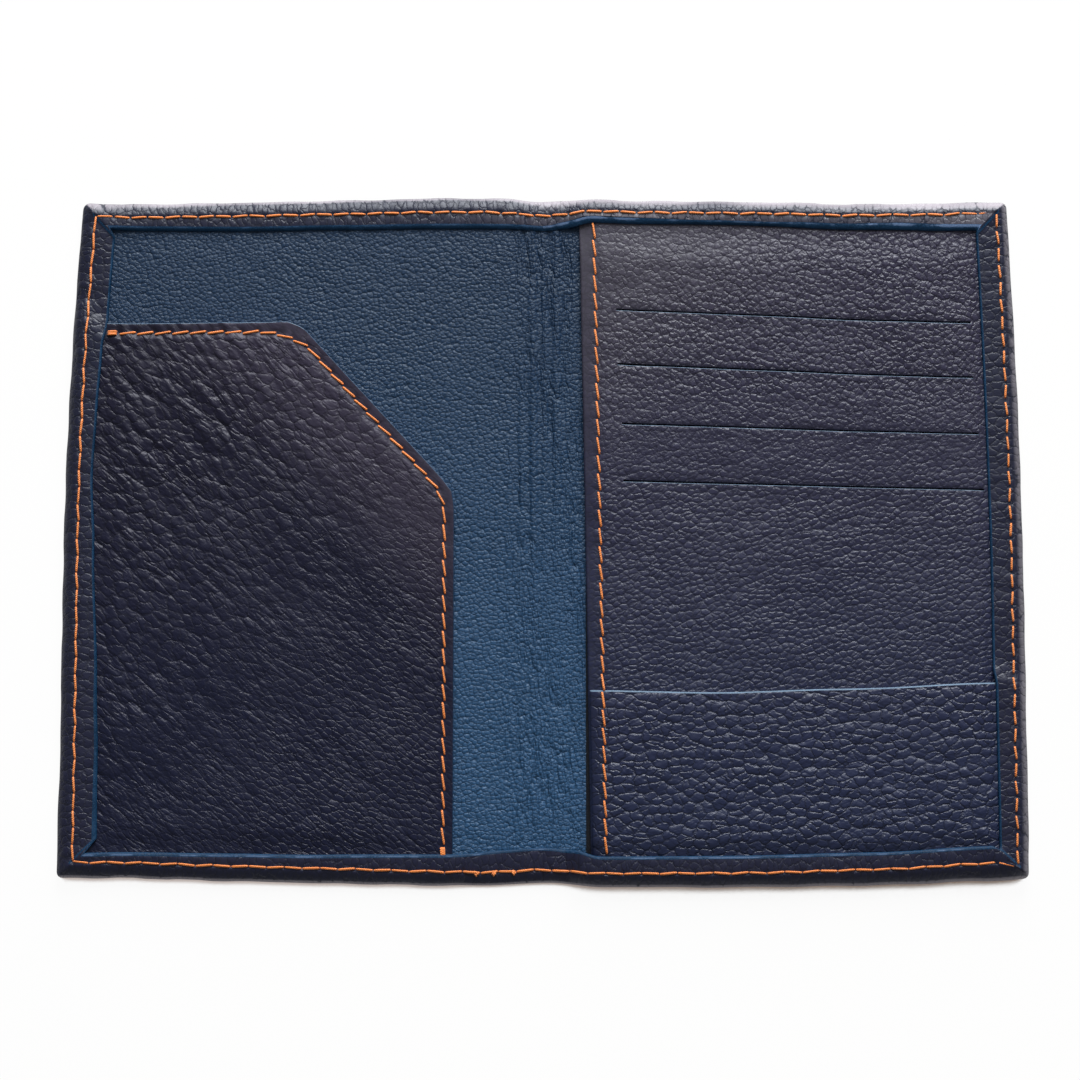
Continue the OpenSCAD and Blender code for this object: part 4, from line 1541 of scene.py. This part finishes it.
class HolderSettings(bpy.types.PropertyGroup):
    """Colours and grain sizes of the passport holder."""
    cover_colour: colour_property("Cover", "the cover leather", 19, 22, 44)
    cover_low_colour: colour_property("Cover, bottom", "the hem at its bottom", 19, 21, 46)
    pocket_colour: colour_property("Pocket, top", "the passport pocket at its top", 17, 15, 34)
    pocket_low_colour: colour_property("Pocket, bottom", "the passport pocket at its bottom", 13, 18, 43)
    # Paler colour near the pocket's slanted edge: painted sheen
    pocket_sheen_colour: colour_property("Pocket, slant", "the pocket at its slanted edge", 42, 38, 54)
    # Lighter, greyer top of the card panel: partly the leather's tone, partly painted sheen
    panel_top_colour_and_sheen: colour_property("Card panel, top", "the card panel at its top", 42, 39, 59)
    # Paler colour at the panel's upper left: painted sheen
    panel_sheen_colour: colour_property("Card panel, corner", "the panel's upper left", 60, 57, 69)
    panel_low_colour: colour_property("Card panel, bottom", "the card side at its bottom", 23, 31, 60)
    lining_colour: colour_property("Lining, top", "the lining at its top", 17, 40, 67)
    lining_low_colour: colour_property("Lining, bottom", "the lining at its bottom", 35, 72, 108)
    edge_colour: colour_property("Cut edge", "the dyed cut edges", 1, 40, 68)
    # Pale colour along the cover's edges: part rubbing, part painted highlight
    highlight_and_wear_colour: colour_property("Rubbed leather", "cover leather worn along its edge", 158, 152, 160)
    # Pale colour on the upper cut edges: part rubbing, part painted highlight
    edge_highlight_and_wear_colour: colour_property("Rubbed cut edge", "cut edges worn pale", 104, 128, 166)
    # Paler colour of cut lips that face the window: painted highlight
    lit_lip_colour: colour_property("Pocket lips", "the cut lips of slits and pockets", 84, 103, 122)
    textile_colour: colour_property("Textile", "the pocket textile", 26, 28, 36)
    thread_colour: colour_property("Thread", "the sewing thread", 250, 150, 66)
    interlining_colour: colour_property("Interlining", "the interlining", 205, 202, 192)
    cover_grain: grain_property("Cover grain", "the cover leather", 1.0)
    pocket_grain: grain_property("Pocket grain", "the pocket leather", 1.3)
    panel_grain: grain_property("Panel grain", "the card panel leather", 1.3)
    lining_grain: grain_property("Lining grain", "the lining leather", 0.88)


class HOLDER_OT_cover(bpy.types.Operator):
    """Builds the cover leather with its turned hems"""
    bl_idname = "holder.cover"
    bl_label = "Cover"

    def execute(self, context):
        for side in EDGES:
            build_cover(side, finishes("cover", "edge", "hem", "hem_side"))
        return {"FINISHED"}


class HOLDER_OT_lining(bpy.types.Operator):
    """Builds the interlining and the lining"""
    bl_idname = "holder.lining"
    bl_label = "Lining and interlining"

    def execute(self, context):
        for side in EDGES:
            build_interlining(side, finish_of("interlining"))
            build_lining(side, finishes("lining", "edge"))
        return {"FINISHED"}


class HOLDER_OT_passport_pocket(bpy.types.Operator):
    """Builds the passport pocket with its textile and topstitching"""
    bl_idname = "holder.passport_pocket"
    bl_label = "Passport pocket"

    def execute(self, context):
        build_passport_pocket(finishes("pocket", "edge", "lit_lip_edge"))
        build_passport_textile(finishes("textile", "textile"))
        build_passport_thread(finish_of("thread"))
        return {"FINISHED"}


class HOLDER_OT_card_panel(bpy.types.Operator):
    """Builds the slit card panel, its liners, the slip pocket and their seam"""
    bl_idname = "holder.card_panel"
    bl_label = "Card panel"

    def execute(self, context):
        build_card_panel(finishes("panel", "panel", "lit_lip_edge"))
        build_slip_pocket(finishes("slip", "slip", "lit_lip_edge"))
        build_card_thread(finish_of("thread"))
        textile = finishes("textile", "textile")
        build_card_textile("card_panel_backing", "card_backing_textile", textile)
        for k in range(1, len(SLITS) + 1):
            build_card_textile(f"card_pocket_{k}", f"card_pocket_textile_{k}", textile)
        return {"FINISHED"}


class HOLDER_OT_perimeter_seam(bpy.types.Operator):
    """Builds the perimeter seam, inside and on the back"""
    bl_idname = "holder.perimeter_seam"
    bl_label = "Perimeter seam"

    def execute(self, context):
        for side in EDGES:
            build_perimeter_thread(side, finish_of("thread"))
        return {"FINISHED"}


# Stage, in metres

FLOOR_HALF = 3.0
FLOOR_Z = -0.00005
PAPER_COLOURS = ((0.93, 0.92, 0.91), (0.96, 0.95, 0.94))
SHADE_COLOURS = ((0.5, 0.43, 0.4), (0.2, 0.15, 0.12))
SHADE_REACH = 0.012
WHITE_SHARE = 0.95
WORLD_STRENGTH = 0.25
WINDOW_PLACE = Vector((0.16, 1.06, 0.5))
WINDOW_SIZE = (0.75, 0.82)
WINDOW_POWER = 27.0
CAMERA_DISTANCE = 1.06
CAMERA_TILT = math.radians(9.3)
CAMERA_LENS = 145.67
CAMERA_SENSOR = 36.0
CAMERA_AIM = Vector((-0.73, -0.11, 2.0)) * MM


def paper_material():
    """Pale paper that the camera sees as white, with a painted shadow where the holder stands in the
    window's way, taken from occlusion towards the window.
    """
    material, tree, shader, place = new_material("stage_paper", 0.9, 0.1)
    paper = noise(tree, place, 300.0, detail=2.0, roughness=0.5)["Fac"]
    tree.links.new(mix_colour(tree, paper, *PAPER_COLOURS), shader.inputs["Base Color"])
    to_light = node(tree, "ShaderNodeCombineXYZ", {"X": 0.1, "Y": 0.8, "Z": 0.6}).outputs[0]
    near = node(
        tree, "ShaderNodeAmbientOcclusion", {"Distance": SHADE_REACH, "Normal": to_light}, samples=16,
    ).outputs["AO"]
    # Painted shadow colour, darker towards the right, shown where the occlusion is high
    shade = mix_colour(tree, along(tree, place, (1, 0, 0), -90, 85, 0.0, 1.0), *SHADE_COLOURS)
    seen = mix_colour(tree, remap(tree, near, 0.36, 0.5), shade, (1.0, 1.0, 1.0))
    glow = node(tree, "ShaderNodeEmission", {"Strength": 1.0, "Color": seen})
    camera_ray = tree.nodes.new("ShaderNodeLightPath").outputs["Is Camera Ray"]
    share = math_node(tree, "MULTIPLY", camera_ray, WHITE_SHARE)
    mixed = node(tree, "ShaderNodeMixShader", {0: share, 1: shader.outputs[0], 2: glow.outputs[0]})
    tree.links.new(mixed.outputs[0], tree.nodes["Material Output"].inputs["Surface"])
    return material


def stand(name, data, place, direction):
    """Puts a lamp or camera at a place, looking in a direction."""
    item = bpy.data.objects.new(name, data)
    item.location = place
    item.rotation_mode = "QUATERNION"
    item.rotation_quaternion = direction.to_track_quat("-Z", "Y")
    bpy.context.scene.collection.objects.link(item)
    return item


class HOLDER_OT_stage(bpy.types.Operator):
    """Builds the floor, the light and the camera"""
    bl_idname = "holder.stage"
    bl_label = "Stage"

    def execute(self, context):
        scene = context.scene
        scene.view_settings.view_transform = "Standard"
        bm = bmesh.new()
        bmesh.ops.create_grid(bm, x_segments=1, y_segments=1, size=FLOOR_HALF)
        bmesh.ops.translate(bm, verts=bm.verts[:], vec=(0, 0, FLOOR_Z))
        floor = new_piece("stage_floor", bm, [paper_material()])
        world = bpy.data.worlds.new("stage_world")
        world.use_nodes = True
        background = world.node_tree.nodes["Background"]
        background.inputs["Color"].default_value = (1, 1, 1, 1)
        background.inputs["Strength"].default_value = WORLD_STRENGTH
        scene.world = world
        window = bpy.data.lights.new("stage_window", "AREA")
        window.shape = "RECTANGLE"
        window.size, window.size_y = WINDOW_SIZE
        window.energy = WINDOW_POWER
        stand("stage_window", window, WINDOW_PLACE, -WINDOW_PLACE)
        lens = bpy.data.cameras.new("photo_camera")
        lens.sensor_width = CAMERA_SENSOR
        lens.lens = CAMERA_LENS
        back = Vector((0, -math.sin(CAMERA_TILT), math.cos(CAMERA_TILT)))
        scene.camera = stand("photo_camera", lens, CAMERA_AIM + back * CAMERA_DISTANCE, -back)
        return {"FINISHED"}


STEPS_IN_ORDER = (
    HOLDER_OT_stage, HOLDER_OT_cover, HOLDER_OT_lining, HOLDER_OT_passport_pocket,
    HOLDER_OT_card_panel, HOLDER_OT_perimeter_seam,
)


class HOLDER_PT_sidebar(bpy.types.Panel):
    """Lists the pieces of the passport holder"""
    bl_idname = "HOLDER_PT_sidebar"
    bl_label = "Passport holder"
    bl_space_type = "VIEW_3D"
    bl_region_type = "UI"
    bl_category = "Holder"

    def draw(self, context):
        for step in STEPS_IN_ORDER:
            self.layout.operator(step.bl_idname)
        for key in HolderSettings.__annotations__:
            self.layout.prop(context.scene.passport_holder, key)


CLASSES = (HolderSettings, *STEPS_IN_ORDER, HOLDER_PT_sidebar)


def register():
    for cls in CLASSES:
        bpy.utils.register_class(cls)
    bpy.types.Scene.passport_holder = bpy.props.PointerProperty(type=HolderSettings)


def unregister():
    del bpy.types.Scene.passport_holder
    for cls in reversed(CLASSES):
        bpy.utils.unregister_class(cls)


def main():
    register()
    for step in STEPS_IN_ORDER:
        group, name = step.bl_idname.split(".")
        getattr(getattr(bpy.ops, group), name)()


if __name__ == "__main__":
    main()
